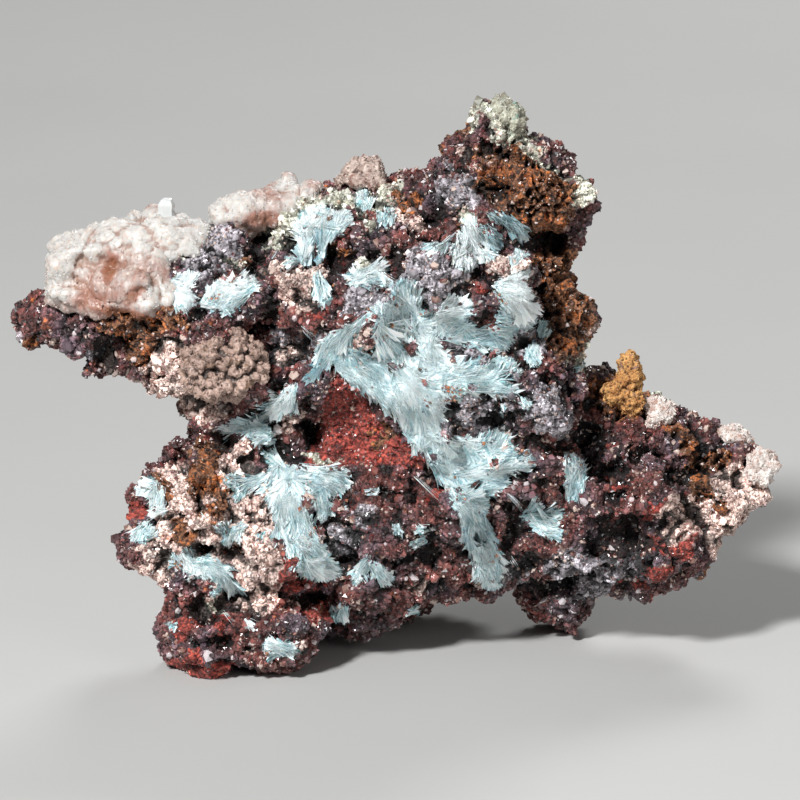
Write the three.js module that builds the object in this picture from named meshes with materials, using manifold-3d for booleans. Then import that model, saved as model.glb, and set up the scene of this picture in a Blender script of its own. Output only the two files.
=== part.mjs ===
// An aurichalcite specimen: a cabinet-sized lump of iron-stained matrix rock, with pale blue
// radiating sprays of aurichalcite, a crust of pinkish calcite, a bunch of tan botryoidal
// crystals, a horn of orange limonite and white nubs grown on it.
// Millimetres, +Z up, +Y away from the front. The origin is on the resting plane, under the
// middle of the specimen. The specimen rests on worn flats under its lowest lumps.
import * as THREE from "three";
import Module from "manifold-3d";
import { mergeVertices } from "three/addons/utils/BufferGeometryUtils.js";

const wasm = await Module();
wasm.setup();

// Driving dimensions, in millimetres and degrees.
const VIEW_TILT = THREE.MathUtils.degToRad(14); // the layout is drawn from this far above the horizon
const GAP = 0.32; // clearance between a growth and what carries it
const CRUMB = 3; // a second body of a growth, smaller than this many cubic millimetres, is left out
const REACH = 200; // longer than any sight line through the specimen
const WELD = 1e-4; // vertices nearer than this are one
const LEAST = 2; // no hollow comes nearer than this to the middle of a mass
const FORWARD = 0.2; // how strongly a mass's points gather towards its front, which is seen the most
const RIM = 2.5; // a hollow is open to the outside where this much or less stands over it

// How rough a surface is: how wide its crags are, and how far they stand out.
const ROCK_CRAGS = [
  { size: 6.6, height: 2.6 },
  { size: 3.6, height: 1.5 },
];
const CRUST_CRAGS = [
  { size: 4.2, height: 1.5 },
  { size: 2.4, height: 0.6 },
];
const NUB_CRAGS = [{ size: 2, height: 0.6 }];

const COLOURS = {
  matrix: { color: 0x4e4246, roughness: 0.8, metalness: 0.05 },
  aurichalcite: { color: 0xa9d0d4, roughness: 0.45, metalness: 0 },
  calcite: { color: 0xdcc4b6, roughness: 0.5, metalness: 0 },
  botryoid: { color: 0xb09a86, roughness: 0.65, metalness: 0 },
  limonite: { color: 0xb5803a, roughness: 0.9, metalness: 0 },
  hemimorphite: { color: 0xe2d4ca, roughness: 0.45, metalness: 0 },
  clear: { color: 0xe9efee, roughness: 0.15, metalness: 0 },
};

// The layout is drawn as the specimen is seen from the front: across to the right, up from
// the front edge of the ground, and back into the picture. This gives the place in the
// part's own frame.
function place(across, up, back) {
  const height = (up - back * Math.sin(VIEW_TILT)) / Math.cos(VIEW_TILT);
  return new THREE.Vector3(across, back, height);
}

// The same the other way round: a place's across, up and back.
function laidOut(point) {
  const up = point.z * Math.cos(VIEW_TILT) + point.y * Math.sin(VIEW_TILT);
  return [point.x, up, point.y];
}

// A number from 0 to 1 that is fixed for each whole-numbered cell of space.
function chance(i, j, k, salt) {
  const wave = 43758.5453 * Math.sin(127.1 * i + 311.7 * j + 74.7 * k + 53.3 * salt);
  return wave - Math.floor(wave);
}

// Craggy relief: space is parted into cells of the given size, each a low dome round its own
// middle at a height of its own, with a crease or a ledge where two meet.
function crag(p, size, salt) {
  const home = p.clone().divideScalar(size).floor();
  let nearest = Infinity;
  let height = 0;
  for (let n = 0; n < 27; n++) {
    const i = home.x + (n % 3) - 1;
    const j = home.y + (Math.floor(n / 3) % 3) - 1;
    const k = home.z + Math.floor(n / 9) - 1;
    const middle = new THREE.Vector3(
      i + chance(i, j, k, salt),
      j + chance(i, j, k, salt + 1),
      k + chance(i, j, k, salt + 2),
    );
    const distance = middle.multiplyScalar(size).distanceTo(p) / size;
    if (distance < nearest) {
      nearest = distance;
      height = chance(i, j, k, salt + 3) - 0.5;
    }
  }
  return 0.7 * height + 0.45 - nearest * nearest;
}

// A closed three.js geometry with shared vertices and nothing but positions.
function welded(geometry) {
  const bare = geometry.clone();
  bare.deleteAttribute("normal");
  bare.deleteAttribute("uv");
  return mergeVertices(bare, WELD);
}

// The same surface moved outwards by a distance, each point along its own normal.
function grown(geometry, distance) {
  const copy = geometry.clone();
  copy.computeVertexNormals();
  const position = copy.getAttribute("position");
  const normal = copy.getAttribute("normal");
  for (let i = 0; i < position.count; i++) {
    position.setXYZ(
      i,
      position.getX(i) + distance * normal.getX(i),
      position.getY(i) + distance * normal.getY(i),
      position.getZ(i) + distance * normal.getZ(i),
    );
  }
  copy.deleteAttribute("normal");
  return copy;
}

// One solid from several closed geometries, moved outwards by grow first.
function solidOf(geometries, grow = 0) {
  const solids = geometries.map((geometry) => {
    const shape = grow === 0 ? geometry : grown(geometry, grow);
    const mesh = new wasm.Mesh({
      numProp: 3,
      vertProperties: new Float32Array(shape.getAttribute("position").array),
      triVerts: new Uint32Array(shape.index.array),
    });
    return new wasm.Manifold(mesh);
  });
  return wasm.Manifold.union(solids);
}

function geometryOf(solid) {
  const mesh = solid.getMesh();
  const position = new Float32Array(mesh.numVert * 3);
  for (let i = 0; i < mesh.numVert; i++) {
    const from = i * mesh.numProp;
    position.set(mesh.vertProperties.subarray(from, from + 3), i * 3);
  }
  const geometry = new THREE.BufferGeometry();
  geometry.setAttribute("position", new THREE.BufferAttribute(position, 3));
  geometry.setIndex(new THREE.BufferAttribute(new Uint32Array(mesh.triVerts), 1));
  return geometry;
}

// Where a ray from a place goes into a lump and where it leaves it, as distances, or two
// zeros where it misses. A lump is an ellipsoid that leans in the picture plane, so the ray
// is turned and scaled until the ellipsoid is a ball of radius 1.
function crossing(from, direction, [across, up, back, wide, deep, tall, lean]) {
  const half = new THREE.Vector3(wide, deep, tall);
  const level = new THREE.Vector3(0, 1, 0);
  const angle = THREE.MathUtils.degToRad(lean);
  const start = from.clone().sub(place(across, up, back)).applyAxisAngle(level, angle).divide(half);
  const step = direction.clone().applyAxisAngle(level, angle).divide(half);
  const a = step.dot(step);
  const b = start.dot(step);
  const c = start.dot(start) - 1;
  const inside = b * b - a * c;
  if (inside <= 0) return [0, 0];
  return [(-b - Math.sqrt(inside)) / a, (-b + Math.sqrt(inside)) / a];
}

// A craggy mass: the skin round a group of lumps, as seen from a place inside them. Each
// point of a geodesic sphere goes out to where its ray leaves the last lump, back to where it
// enters a hollow, and the crags stand out of that. stretch spreads the points along the
// mass's longer sides, and they lie closer together towards the front.
function mass({ centre, stretch, detail, lumps, hollows = [], crags = ROCK_CRAGS, seed }) {
  const geometry = welded(new THREE.IcosahedronGeometry(1, detail));
  const position = geometry.getAttribute("position");
  const from = place(...centre);
  const direction = new THREE.Vector3();
  const point = new THREE.Vector3();
  for (let i = 0; i < position.count; i++) {
    direction.fromBufferAttribute(position, i);
    direction.y -= FORWARD;
    direction.multiply(new THREE.Vector3(...stretch)).normalize();
    let reach = Math.max(...lumps.map((lump) => crossing(from, direction, lump)[1]));
    const spot = from.clone().addScaledVector(direction, reach);
    crags.forEach(({ size, height }, n) => {
      reach += height * crag(spot, size, seed + 9 * n);
    });
    for (const hollow of hollows) {
      const [enter, leave] = crossing(from, direction, hollow);
      if (enter > LEAST && enter < reach && reach < leave + RIM) reach = enter;
    }
    point.copy(from).addScaledVector(direction, reach);
    position.setXYZ(i, point.x, point.y, point.z);
  }
  return geometry;
}

// The rock's masses. Each line of lumps is one bulge of rock: across, up, back, then half
// its width, depth and height, and how far it leans in the picture plane.
const MASSES = {
  core: {
    centre: [0, 31, 7],
    stretch: [1, 1, 1],
    detail: 7,
    seed: 1,
    lumps: [
      [0, 32, 6, 15, 13, 12, 0],
      [-1, 21, 7, 15, 11, 8, 0],
      [11, 27, 6, 8.6, 11, 12, 0],
      [-10.5, 34.5, 4, 9.5, 11.5, 8, 0],
      [-7, 43.4, 8, 9, 8, 4.8, 4],
      [2, 44.6, 8, 8, 8, 5.2, 12],
      [-2, 37, 15, 14, 8.5, 10, 0],
      [3.4, 39.4, -4.6, 4, 4.6, 3.6, 0],
      [-2.4, 42.4, -2, 3.6, 3.4, 2.8, 15],
      [-4.4, 36.2, -6, 4.4, 4, 2.6, 12],
      [10.2, 27.6, -3, 4.6, 4.6, 3, 0],
      [14.2, 27, -2, 3.6, 4, 4.2, 0],
      [8.2, 24.6, -4, 2.8, 3.6, 2.2, 0],
      [9.6, 38.6, -3.6, 3.4, 4.2, 3.2, 0],
      [-11.6, 37.8, -5, 4.6, 3.6, 2.8, 20],
      [15.2, 41, 7, 3.4, 4.6, 3, 0],
      [15.8, 35.4, 5, 3.8, 5.4, 4.4, 0],
      [15.6, 31, 5, 3.8, 5, 3.4, 0],
      [-16.2, 28.8, 4, 5.2, 7.6, 5, -20],
      [-16, 23.6, 3, 5, 7.4, 4, 0],
      [-13, 24, 10, 8, 7, 7, 0],
    ],
  },
  peak: {
    centre: [11.6, 48, 5.5],
    stretch: [1, 1, 1.2],
    detail: 4,
    seed: 2,
    lumps: [
      [10.5, 45.5, 7, 7.4, 7.2, 6.6, 0],
      [12.2, 48.2, 4.5, 6.2, 6.6, 5, -28],
      [9.8, 53.2, 5, 3.2, 4, 3, 20],
      [15, 50.8, 4.5, 2.8, 4.2, 2.2, -30],
      [17.4, 48.2, 4, 3, 3.8, 1.9, -30],
      [7.2, 50, 6, 2.4, 4.2, 3.8, 25],
      [10.5, 47, 11, 5.6, 5.2, 5, 0],
    ],
  },
  left_arm: {
    centre: [-24.4, 35.4, 3],
    stretch: [1.6, 1, 1],
    detail: 5,
    seed: 4,
    lumps: [
      [-18.6, 37.2, 3, 8.5, 8.4, 6.2, 0],
      [-26, 35.2, 2, 7.5, 7, 4.4, 0],
      [-31.6, 34.8, 2, 4.6, 5.4, 3.6, 0],
      [-36.8, 35.1, 3, 3, 3.6, 2.4, 20],
      [-31, 31.4, 1, 1.8, 2.8, 2.6, 0],
      [-22.2, 30.8, 2, 4.8, 5.8, 3.4, -38],
      [-19.4, 42, 2, 3.4, 3.4, 2.4, 0],
      [-19.5, 38.2, 9, 9, 6, 5.2, 0],
    ],
  },
  lower_left: {
    centre: [-17.8, 11, -1.5],
    stretch: [1, 1, 1.2],
    detail: 5,
    seed: 7,
    lumps: [
      [-18, 13.4, -1.5, 8, 8.2, 7.6, 0],
      [-25.4, 13.4, 0, 2.8, 5, 4.6, 0],
      [-22, 8.4, -2, 3, 5, 3.4, 0],
      [-19.4, 3.6, -3.6, 4.6, 6.2, 4.4, 0],
      [-14, 3.6, -4, 4, 6, 4.6, 0],
      [-12.2, 7, -3.6, 3.2, 5.6, 5, 0],
      [-21.2, 18, 0.5, 4, 5.6, 3.6, 20],
      [-10.4, 13.4, 0.5, 6, 8.2, 7.2, 0],
      [-20, 15.4, -7.8, 4, 3.4, 3, 0],
      [-13.4, 10.8, -7.6, 3.4, 3, 2.6, 0],
    ],
  },
  lower_middle: {
    centre: [0, 13, 8],
    stretch: [1.3, 1.1, 1],
    detail: 5,
    seed: 8,
    lumps: [
      [-2, 12.4, 5, 10.6, 10.6, 7.6, 0],
      [4.4, 11.2, 7, 6.4, 8.8, 4.6, 0],
      [-5.6, 6.8, 7, 5.8, 7.4, 3.2, 0],
      [8.2, 13.8, 5.5, 6, 8, 6, 0],
      [0, 15, 15, 13, 7.6, 10.6, 0],
      [-9.5, 8.8, 15.5, 5.6, 5.5, 6.6, 0],
      [-3, 13.4, -4, 4.6, 3.6, 3.6, 0],
      [3.6, 15.6, -2.8, 4.2, 3.6, 3, 0],
    ],
  },
  right: {
    centre: [21.4, 15, 6.5],
    stretch: [1.3, 1, 1],
    detail: 5,
    seed: 10,
    lumps: [
      [13.8, 13.4, 5.5, 6, 7.2, 5.6, 0],
      [21.6, 13.8, 5, 8.2, 8, 7, 0],
      [25.8, 12.4, 6, 6.8, 7, 3.6, 16],
      [24.4, 21.2, 7, 7, 6.6, 5, 0],
      [20.2, 26.6, 7, 3.8, 5, 2.2, 0],
      [27.8, 24, 7, 3.2, 4.6, 2.4, -42],
      [30.8, 20.8, 7, 3.4, 5, 2.8, -42],
      [32.6, 16.2, 5, 3.6, 5.4, 3.6, 0],
      [34.4, 20.8, 6, 2.8, 3.4, 2, 0],
      [36.4, 18.6, 6, 2.2, 3.2, 2.6, 0],
      [20, 20.5, 12, 8.6, 6.6, 6.6, 0],
      [14.2, 18.6, -1, 3.6, 3.6, 3.2, 0],
      [24.8, 17.6, -1.2, 4, 3.4, 3.2, 0],
      [26.4, 11.6, -0.4, 4.6, 3.4, 2.6, 16],
      [16.6, 7.6, 9.6, 3.8, 5.8, 6.9, 10],
    ],
  },
};

// Hollows in the rock, in the same columns: under the peak, beside the bunch, the red
// recess and its dark left end, above the ledge, the groove before the right arm, on the
// right arm, the red slit, under the left arm, and beside the vein.
const HOLLOWS = [
  [15.4, 43, -1, 3.4, 4.4, 2, -10],
  [-12, 31.4, -6.6, 3.8, 5.4, 3.4, 0],
  [-5.4, 23.8, -7, 5.4, 4.6, 3.8, -18],
  [-9.6, 22.4, -5, 2.4, 5, 3.4, -25],
  [-7.2, 40.4, -4, 2.4, 4, 2, 0],
  [20.4, 22.4, -1.6, 2.4, 6, 5, 8],
  [22.8, 12.6, -3.6, 2.6, 3.4, 2.2, 0],
  [30, 18.6, 0, 3, 4, 2, 20],
  [-10.6, 6.8, -9.4, 3.2, 3.6, 1.6, 0],
  [-28.4, 32.6, -3, 1.8, 6, 1.6, 0],
  [9.6, 23.4, -7, 3, 3.4, 2, 0],
];

// Everything under the resting plane, as a slab that reaches past the specimen.
function ground() {
  const slab = new THREE.BoxGeometry(REACH, REACH, REACH);
  slab.translate(0, 0, -REACH / 2);
  return welded(slab);
}

const FLOOR = solidOf([ground()]);
const rockShapes = Object.values(MASSES).map((row) => mass({ ...row, hollows: HOLLOWS }));

// The whole rock is its masses joined, worn flat underfoot.
const matrix = solidOf(rockShapes).subtract(FLOOR);
const matrixMesh = new THREE.Mesh(geometryOf(matrix));
matrixMesh.material.side = THREE.DoubleSide;

// Sight directions for the sides that a growth can be seen from.
const SIGHTS = {
  front: new THREE.Vector3(0, Math.cos(VIEW_TILT), -Math.sin(VIEW_TILT)),
  back: new THREE.Vector3(0, -1, 0),
};

// A place on a side: across runs to the right as that side is seen, and up is as on the
// front for the front, and the height for the back.
function aimAt(across, up, side) {
  if (side === "front") return place(across, up, 0);
  return new THREE.Vector3(-across, 0, up);
}

// Where the sight line through a place first meets the rock: the point, the mean outward
// normal over a patch round it, and the picture's right and up there.
function seat(across, up, side = "front", patch = 1.6) {
  const sight = SIGHTS[side];
  const rays = new THREE.Raycaster();
  const right = new THREE.Vector3().crossVectors(sight, new THREE.Vector3(0, 0, 1)).normalize();
  const above = new THREE.Vector3().crossVectors(right, sight).normalize();
  const start = aimAt(across, up, side).addScaledVector(sight, -REACH / 2);
  const normal = sight.clone().multiplyScalar(-1.2);
  let point = null;
  for (const [dx, dy] of [[0, 0], [patch, 0], [-patch, 0], [0, patch], [0, -patch]]) {
    rays.set(start.clone().addScaledVector(right, dx).addScaledVector(above, dy), sight);
    const [hit] = rays.intersectObject(matrixMesh);
    if (hit) normal.add(hit.face.normal);
    if (hit && !point) point = hit.point;
  }
  return { point, normal: normal.normalize(), right, above };
}

// A spray: flat blades that radiate from one root, as a low star whose ridges run out to
// raised tips with valleys between, and whose underside goes down into the rock. heading
// and spread are degrees in the picture plane, and reach is the longest blade's length.
const SPRAY = { blade: 33, tip: 0.3, valley: 0.14, root: 0.2, short: 0.4, depth: 0.3, patch: 0.35 };
function spray([across, up, heading, spread, reach, side]) {
  const { point, normal, right, above } = seat(across, up, side, SPRAY.patch * reach);
  const blades = Math.max(2, Math.round(spread / SPRAY.blade));
  const front = 2 * blades;
  const count = front + 4;
  const geometry = welded(new THREE.ConeGeometry(1, 1, count, 1));
  const position = geometry.getAttribute("position");
  const east = right.clone().addScaledVector(normal, -right.dot(normal)).normalize();
  const north = new THREE.Vector3().crossVectors(normal, east);
  for (let i = 0; i < position.count; i++) {
    const [x, y, z] = [position.getX(i), position.getY(i), position.getZ(i)];
    const onRim = Math.hypot(x, z) > 0.5;
    const turn = (Math.atan2(-z, x) / (2 * Math.PI) + 1) % 1;
    const step = Math.round(turn * count) % count;
    const fanned = step <= front;
    const share = fanned ? step / front - 0.5 : 0.5 + (step - front) / (count - front);
    const sweep = fanned ? share * spread : spread / 2 + (share - 0.5) * (360 - spread);
    const angle = THREE.MathUtils.degToRad(heading + sweep);
    const ridge = step % 2 === 1;
    const uneven = 1 - 0.3 * chance(step, Math.round(10 * across), Math.round(10 * up), 7);
    const length = reach * (fanned ? (ridge ? uneven : 0.72 * uneven) : SPRAY.short);
    const lift = reach * (ridge ? SPRAY.tip : SPRAY.valley);
    const out = onRim ? length : 0;
    const high = onRim ? (fanned ? lift : 0) : y > 0 ? SPRAY.root * reach : -SPRAY.depth * reach;
    const placed = point.clone().addScaledVector(normal, high);
    placed.addScaledVector(east, out * Math.cos(angle)).addScaledVector(north, out * Math.sin(angle));
    position.setXYZ(i, placed.x, placed.y, placed.z);
  }
  return geometry;
}

// A rounded knob seated on the rock, sunk by a share of its radius.
const KNOB = { sunk: 0.1, detail: 1, relief: 0.25, grain: 1.1 };
function knob([across, up, radius]) {
  const { point, normal } = seat(across, up);
  const geometry = welded(new THREE.IcosahedronGeometry(radius, KNOB.detail));
  const position = geometry.getAttribute("position");
  const spot = new THREE.Vector3();
  for (let i = 0; i < position.count; i++) {
    spot.fromBufferAttribute(position, i);
    const bump = 1 + KNOB.relief * crag(spot.clone().add(point), radius * KNOB.grain, 3);
    spot.multiplyScalar(bump).add(point).addScaledVector(normal, -KNOB.sunk * radius);
    position.setXYZ(i, spot.x, spot.y, spot.z);
  }
  return geometry;
}

// The aurichalcite. A row is across, up, heading, spread, reach and the side it is seen on.
const SPRAYS = {
  aurichalcite_vein: [
    [-1, 32, 90, 300, 7.4],
    [-6.6, 31, 180, 180, 6],
    [4.8, 33.4, 50, 200, 6.2],
    [0.4, 27, 250, 180, 7],
    [5.6, 27.4, 320, 220, 7],
    [7.6, 20.4, 340, 260, 7],
    [8.4, 13.6, 283, 70, 8.4],
  ],
  aurichalcite_bank: [[12.4, 35.6, 330, 220, 6.8]],
  aurichalcite_upper_fan: [[6.8, 41, 280, 220, 6]],
  aurichalcite_neck_fringe: [[12, 44.2, 315, 130, 5.8]],
  aurichalcite_cascade: [
    [-8, 45.6, 270, 200, 6.6],
    [-6.6, 41.6, 268, 130, 5.4],
  ],
  aurichalcite_left_shelf: [
    [-22.2, 38.8, 200, 220, 4.8],
    [-17.4, 38, 350, 200, 5],
  ],
  aurichalcite_middle_ledge: [[-3, 40, 200, 260, 4.8]],
  aurichalcite_left_fan: [[-13, 24.8, 220, 200, 6.2]],
  aurichalcite_lower_spray: [
    [-11.4, 19.8, 250, 220, 7.4],
    [-8.8, 13.4, 300, 180, 7],
  ],
  aurichalcite_left_edge: [[-25.2, 15.8, 320, 240, 4.4]],
  aurichalcite_lower_fan: [[-20.6, 9.6, 350, 220, 5.6]],
  aurichalcite_block_patch: [[-16.6, 13.8, 240, 220, 3.8]],
  aurichalcite_foot_patch: [[-12.6, 1.9, 180, 180, 4.4]],
  aurichalcite_upright_tuft: [[18.2, 16.6, 88, 80, 5.6]],
  aurichalcite_star_tuft: [[14.6, 13.8, 20, 260, 4.2]],
  aurichalcite_back_spray: [[-1, 33, 250, 260, 8, "back"]],
  aurichalcite_back_fan: [[14, 15, 40, 240, 6, "back"]],
};

// The calcite, as a mass of its own over the left arm, and along the top ridge.
const CALCITE_CRUST = {
  centre: [-28, 39.8, 1.5],
  stretch: [1.5, 1, 1],
  detail: 3,
  seed: 20,
  crags: CRUST_CRAGS,
  lumps: [
    [-33.4, 41, 1.6, 3, 4.2, 2.8, 30],
    [-30.2, 42.8, 1.6, 3.6, 4.2, 2.6, 10],
    [-25.8, 42.6, 1.6, 3.6, 4.2, 2.8, 0],
    [-22.4, 42, 1, 3, 3.6, 3, 0],
    [-34, 38, 0.6, 2.6, 4, 2.4, 0],
    [-29.8, 37.8, -1.6, 4, 3.8, 2.8, 12],
    [-26, 38.6, -2, 3.8, 3.6, 2.8, -12],
    [-28.6, 40.6, 5, 5, 4, 2.8, 0],
  ],
};
const CALCITE_RIDGE = {
  centre: [-13.6, 45.6, 6],
  stretch: [1.7, 1, 1],
  detail: 2,
  seed: 21,
  crags: CRUST_CRAGS,
  lumps: [
    [-17, 45.6, 5, 3, 3, 2, 0],
    [-14, 46.2, 6, 3, 3, 2, 0],
    [-12, 48, 7.6, 1.8, 2.2, 2.2, 0],
    [-10.8, 46.6, 6.4, 2.4, 2.8, 1.8, 0],
  ],
};
const RIDGE_CRYSTALS = {
  centre: [-4, 48.8, 7.4],
  stretch: [1, 1, 1],
  detail: 1,
  seed: 22,
  crags: NUB_CRAGS,
  lumps: [
    [-3.4, 49.8, 7, 2.2, 2.6, 2.2, 0],
    [-5.2, 48.8, 8.2, 1.6, 2, 2, 0],
  ],
};
const PEAK_CRUST = {
  centre: [10.8, 55.4, 4.2],
  stretch: [1.3, 1, 1],
  detail: 1,
  seed: 23,
  crags: NUB_CRAGS,
  lumps: [
    [8.9, 56.2, 4.4, 2.3, 3, 2, 20],
    [11.8, 55.2, 4, 2, 2.8, 2.1, -15],
  ],
};
const LIMONITE_HORN = {
  centre: [23.8, 27.4, 3],
  stretch: [1, 1, 1.5],
  detail: 2,
  seed: 24,
  crags: NUB_CRAGS,
  lumps: [
    [24, 28.8, 3.4, 1.4, 1.6, 3.2, 4],
    [22, 26.8, 2.6, 1.7, 1.9, 1.7, 0],
    [24.2, 25.8, 2.4, 1.6, 1.7, 1.7, 0],
  ],
};

// A bunch of round crystals: the skin round balls that sit on the near half of a mound, on a
// sunflower spiral and smaller towards the rim.
const BUNCH = {
  across: -18.4,
  up: 31,
  wide: 3.9,
  deep: 2.4,
  tall: 3.1,
  proud: 0.8,
  count: 16,
  ball: 1.45,
  stretch: [1.2, 1, 1],
  detail: 4,
};
function bunch() {
  const { point, normal, right, above } = seat(BUNCH.across, BUNCH.up, "front", BUNCH.tall);
  point.addScaledVector(normal, BUNCH.proud);
  const golden = THREE.MathUtils.degToRad(137.5);
  const centre = laidOut(point);
  const balls = [[...centre, BUNCH.wide, BUNCH.deep, BUNCH.tall, 0]];
  for (let i = 0; i < BUNCH.count; i++) {
    const share = Math.sqrt((i + 0.5) / BUNCH.count);
    const turn = i * golden;
    const radius = BUNCH.ball * (1.1 - 0.3 * share);
    const spot = point.clone();
    spot.addScaledVector(right, BUNCH.wide * share * Math.cos(turn));
    spot.addScaledVector(above, BUNCH.tall * share * Math.sin(turn));
    spot.addScaledVector(normal, BUNCH.deep * Math.sqrt(1 - share * share));
    balls.push([...laidOut(spot), radius, radius, radius, 0]);
  }
  const row = { centre, stretch: BUNCH.stretch, detail: BUNCH.detail, lumps: balls };
  return [mass({ ...row, crags: [], seed: 0 })];
}

// A clear crystal: a six-sided prism with a pointed end, standing on the calcite.
const CRYSTAL = {
  across: -24.4,
  up: 44.4,
  back: 0.6,
  radius: 0.85,
  length: 2.6,
  tip: 0.8,
  lean: 4,
};
function crystal() {
  const outline = [
    [0, 0],
    [CRYSTAL.radius, 0],
    [CRYSTAL.radius, CRYSTAL.length],
    [0, CRYSTAL.length + CRYSTAL.tip],
  ];
  const profile = outline.map(([x, y]) => new THREE.Vector2(x, y));
  const prism = new THREE.LatheGeometry(profile, 6);
  prism.rotateX(Math.PI / 2);
  prism.rotateY(THREE.MathUtils.degToRad(CRYSTAL.lean));
  const at = place(CRYSTAL.across, CRYSTAL.up, CRYSTAL.back);
  prism.translate(at.x, at.y, at.z);
  return [welded(prism)];
}

// White nubs of crystal: across, up and radius.
const NUBS = {
  white_nub_arm: [26.4, 25.2, 1.8],
  white_nub_shoulder: [34.8, 22.6, 1.8],
  white_nub_tip: [37.8, 19.6, 1.9],
};

// What grows, in the order in which each gives way to those before it: its name, its
// material and its shapes.
const GROWTHS = [
  ["calcite_crust", "calcite", [mass(CALCITE_CRUST)]],
  ["calcite_ridge", "calcite", [mass(CALCITE_RIDGE)]],
  ["ridge_crystals", "hemimorphite", [mass(RIDGE_CRYSTALS)]],
  ["peak_crust", "hemimorphite", [mass(PEAK_CRUST)]],
  ["limonite_horn", "limonite", [mass(LIMONITE_HORN)]],
  ["clear_crystal", "clear", crystal()],
  ["botryoidal_bunch", "botryoid", bunch()],
  ...Object.entries(NUBS).map(([name, row]) => [name, "hemimorphite", [knob(row)]]),
  ...Object.entries(SPRAYS).map(([name, rows]) => [name, "aurichalcite", rows.map(spray)]),
];

// A solid's separate bodies, the largest first, without the crumbs that a cut leaves loose.
function bodiesOf(solid) {
  const bodies = solid.decompose().sort((a, b) => b.volume() - a.volume());
  return bodies.filter((body, i) => i === 0 || body.volume() > CRUMB);
}

const specimen = new THREE.Group();
function add(name, material, solid) {
  const mesh = new THREE.Mesh(geometryOf(solid), new THREE.MeshStandardMaterial(COLOURS[material]));
  mesh.name = name;
  specimen.add(mesh);
}

// Growths that the rock parts are separate pieces, numbered from the second on.
add("matrix", "matrix", bodiesOf(matrix)[0]);
let taken = solidOf(rockShapes, GAP).add(FLOOR);
for (const [name, material, shapes] of GROWTHS) {
  const bodies = bodiesOf(solidOf(shapes).subtract(taken));
  bodies.forEach((body, i) => add(i === 0 ? name : `${name}_${i + 1}`, material, body));
  taken = taken.add(solidOf(shapes, GAP)).add(solidOf(shapes));
}

// The origin goes under the middle of the specimen's box.
const box = new THREE.Box3().setFromObject(specimen);
const middle = box.getCenter(new THREE.Vector3());
specimen.position.set(-middle.x, -middle.y, -box.min.z);

export default specimen;
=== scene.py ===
# %% [markdown]
# # An aurichalcite specimen
#
# The specimen is a lump of iron-stained rock, eight centimetres wide, with a peak and two
# arms. Needles of pale blue aurichalcite lie over its front in sheaves, and calcite, limonite
# and round tan crystals grow beside them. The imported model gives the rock's form and the
# place of each growth. This script gives them their fine surface: crags, pits, druses,
# needles and the colours that iron, copper and zinc leave.
#
# Everything below is worked out in millimetres and turned into metres only when a piece is
# made, so that the numbers can be read as sizes on the real thing.

import math

import bpy
import numpy as np
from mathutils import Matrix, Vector


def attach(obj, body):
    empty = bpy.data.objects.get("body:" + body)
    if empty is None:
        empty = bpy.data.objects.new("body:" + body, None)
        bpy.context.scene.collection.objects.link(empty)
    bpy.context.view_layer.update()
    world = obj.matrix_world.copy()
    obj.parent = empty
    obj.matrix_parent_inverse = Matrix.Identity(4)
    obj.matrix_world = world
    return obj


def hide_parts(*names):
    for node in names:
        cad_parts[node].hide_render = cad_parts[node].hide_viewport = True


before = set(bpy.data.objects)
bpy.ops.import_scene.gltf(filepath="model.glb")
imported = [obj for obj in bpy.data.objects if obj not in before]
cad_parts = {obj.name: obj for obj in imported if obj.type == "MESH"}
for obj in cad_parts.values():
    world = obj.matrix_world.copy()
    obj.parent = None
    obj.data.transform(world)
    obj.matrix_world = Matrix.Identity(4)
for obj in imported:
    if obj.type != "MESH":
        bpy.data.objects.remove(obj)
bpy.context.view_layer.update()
MM = 0.001
# The lowest place of a grain, a needle or a crust, in millimetres above the ground.
LOWEST = 0.02
print("packed model:", len(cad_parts), "solids")

# %% [markdown]
# ## Chance and noise
#
# A rough surface needs chance that is the same on every run. A lookup table of random numbers
# would do, but a formula that turns the whole-numbered cell of a point into a fraction needs no
# table and has no edge. Smooth noise blends the chances at a cell's corners, and pebble noise
# drops one middle in each cell and measures how far off it is. The first gives gentle swells
# and stains, the second gives lumps, grains and pits.

# %% Chance for each cell of space
PRIMES = np.array([73856093, 19349663, 83492791], dtype=np.int64)
LOW_BITS = 0xFFFFFFFF


def chance(cells, salt):
    """A fixed number from 0 to 1 for each whole-numbered cell.

    The cell's numbers times large primes are added up, the sum is stirred twice by a shift
    and a product, and its lowest 24 bits are read as a fraction."""
    n = ((cells.astype(np.int64) * PRIMES).sum(axis=-1) + salt * 40503) & LOW_BITS
    n = ((n ^ (n >> 15)) * 0x2C1B3C6D) & LOW_BITS
    n = ((n ^ (n >> 12)) * 0x297A2D39) & LOW_BITS
    n = n ^ (n >> 15)
    return (n & 0xFFFFFF) / float(0x1000000)


def smooth(low, high, value):
    """0 below low, 1 above high, and 3t^2 - 2t^3 between them, t being the share of the way."""
    t = np.clip((value - low) / (high - low), 0, 1)
    return t * t * (3 - 2 * t)


# %% Smooth noise and clouds
def noise(points, size, salt=0):
    """Smooth noise from -1 to 1, with swells about as wide as size.

    Each point takes the chances of its cell's eight corners, each weighed by how near the
    point is to it along the three axes, eased by 3t^2 - 2t^3."""
    scaled = points / size
    low = np.floor(scaled).astype(np.int64)
    t = scaled - low
    t = t * t * (3 - 2 * t)
    total = np.zeros(len(points))
    for corner in np.ndindex(2, 2, 2):
        step = np.array(corner)
        weight = np.prod(np.where(step == 1, t, 1 - t), axis=1)
        total += weight * chance(low + step, salt)
    return 2 * total - 1


def clouds(points, size, salt=0, layers=3):
    """Noise added up in layers, each half as wide and half as strong as the one before."""
    return sum(noise(points, size / 2**i, salt + i) / 2**i for i in range(layers))


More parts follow.
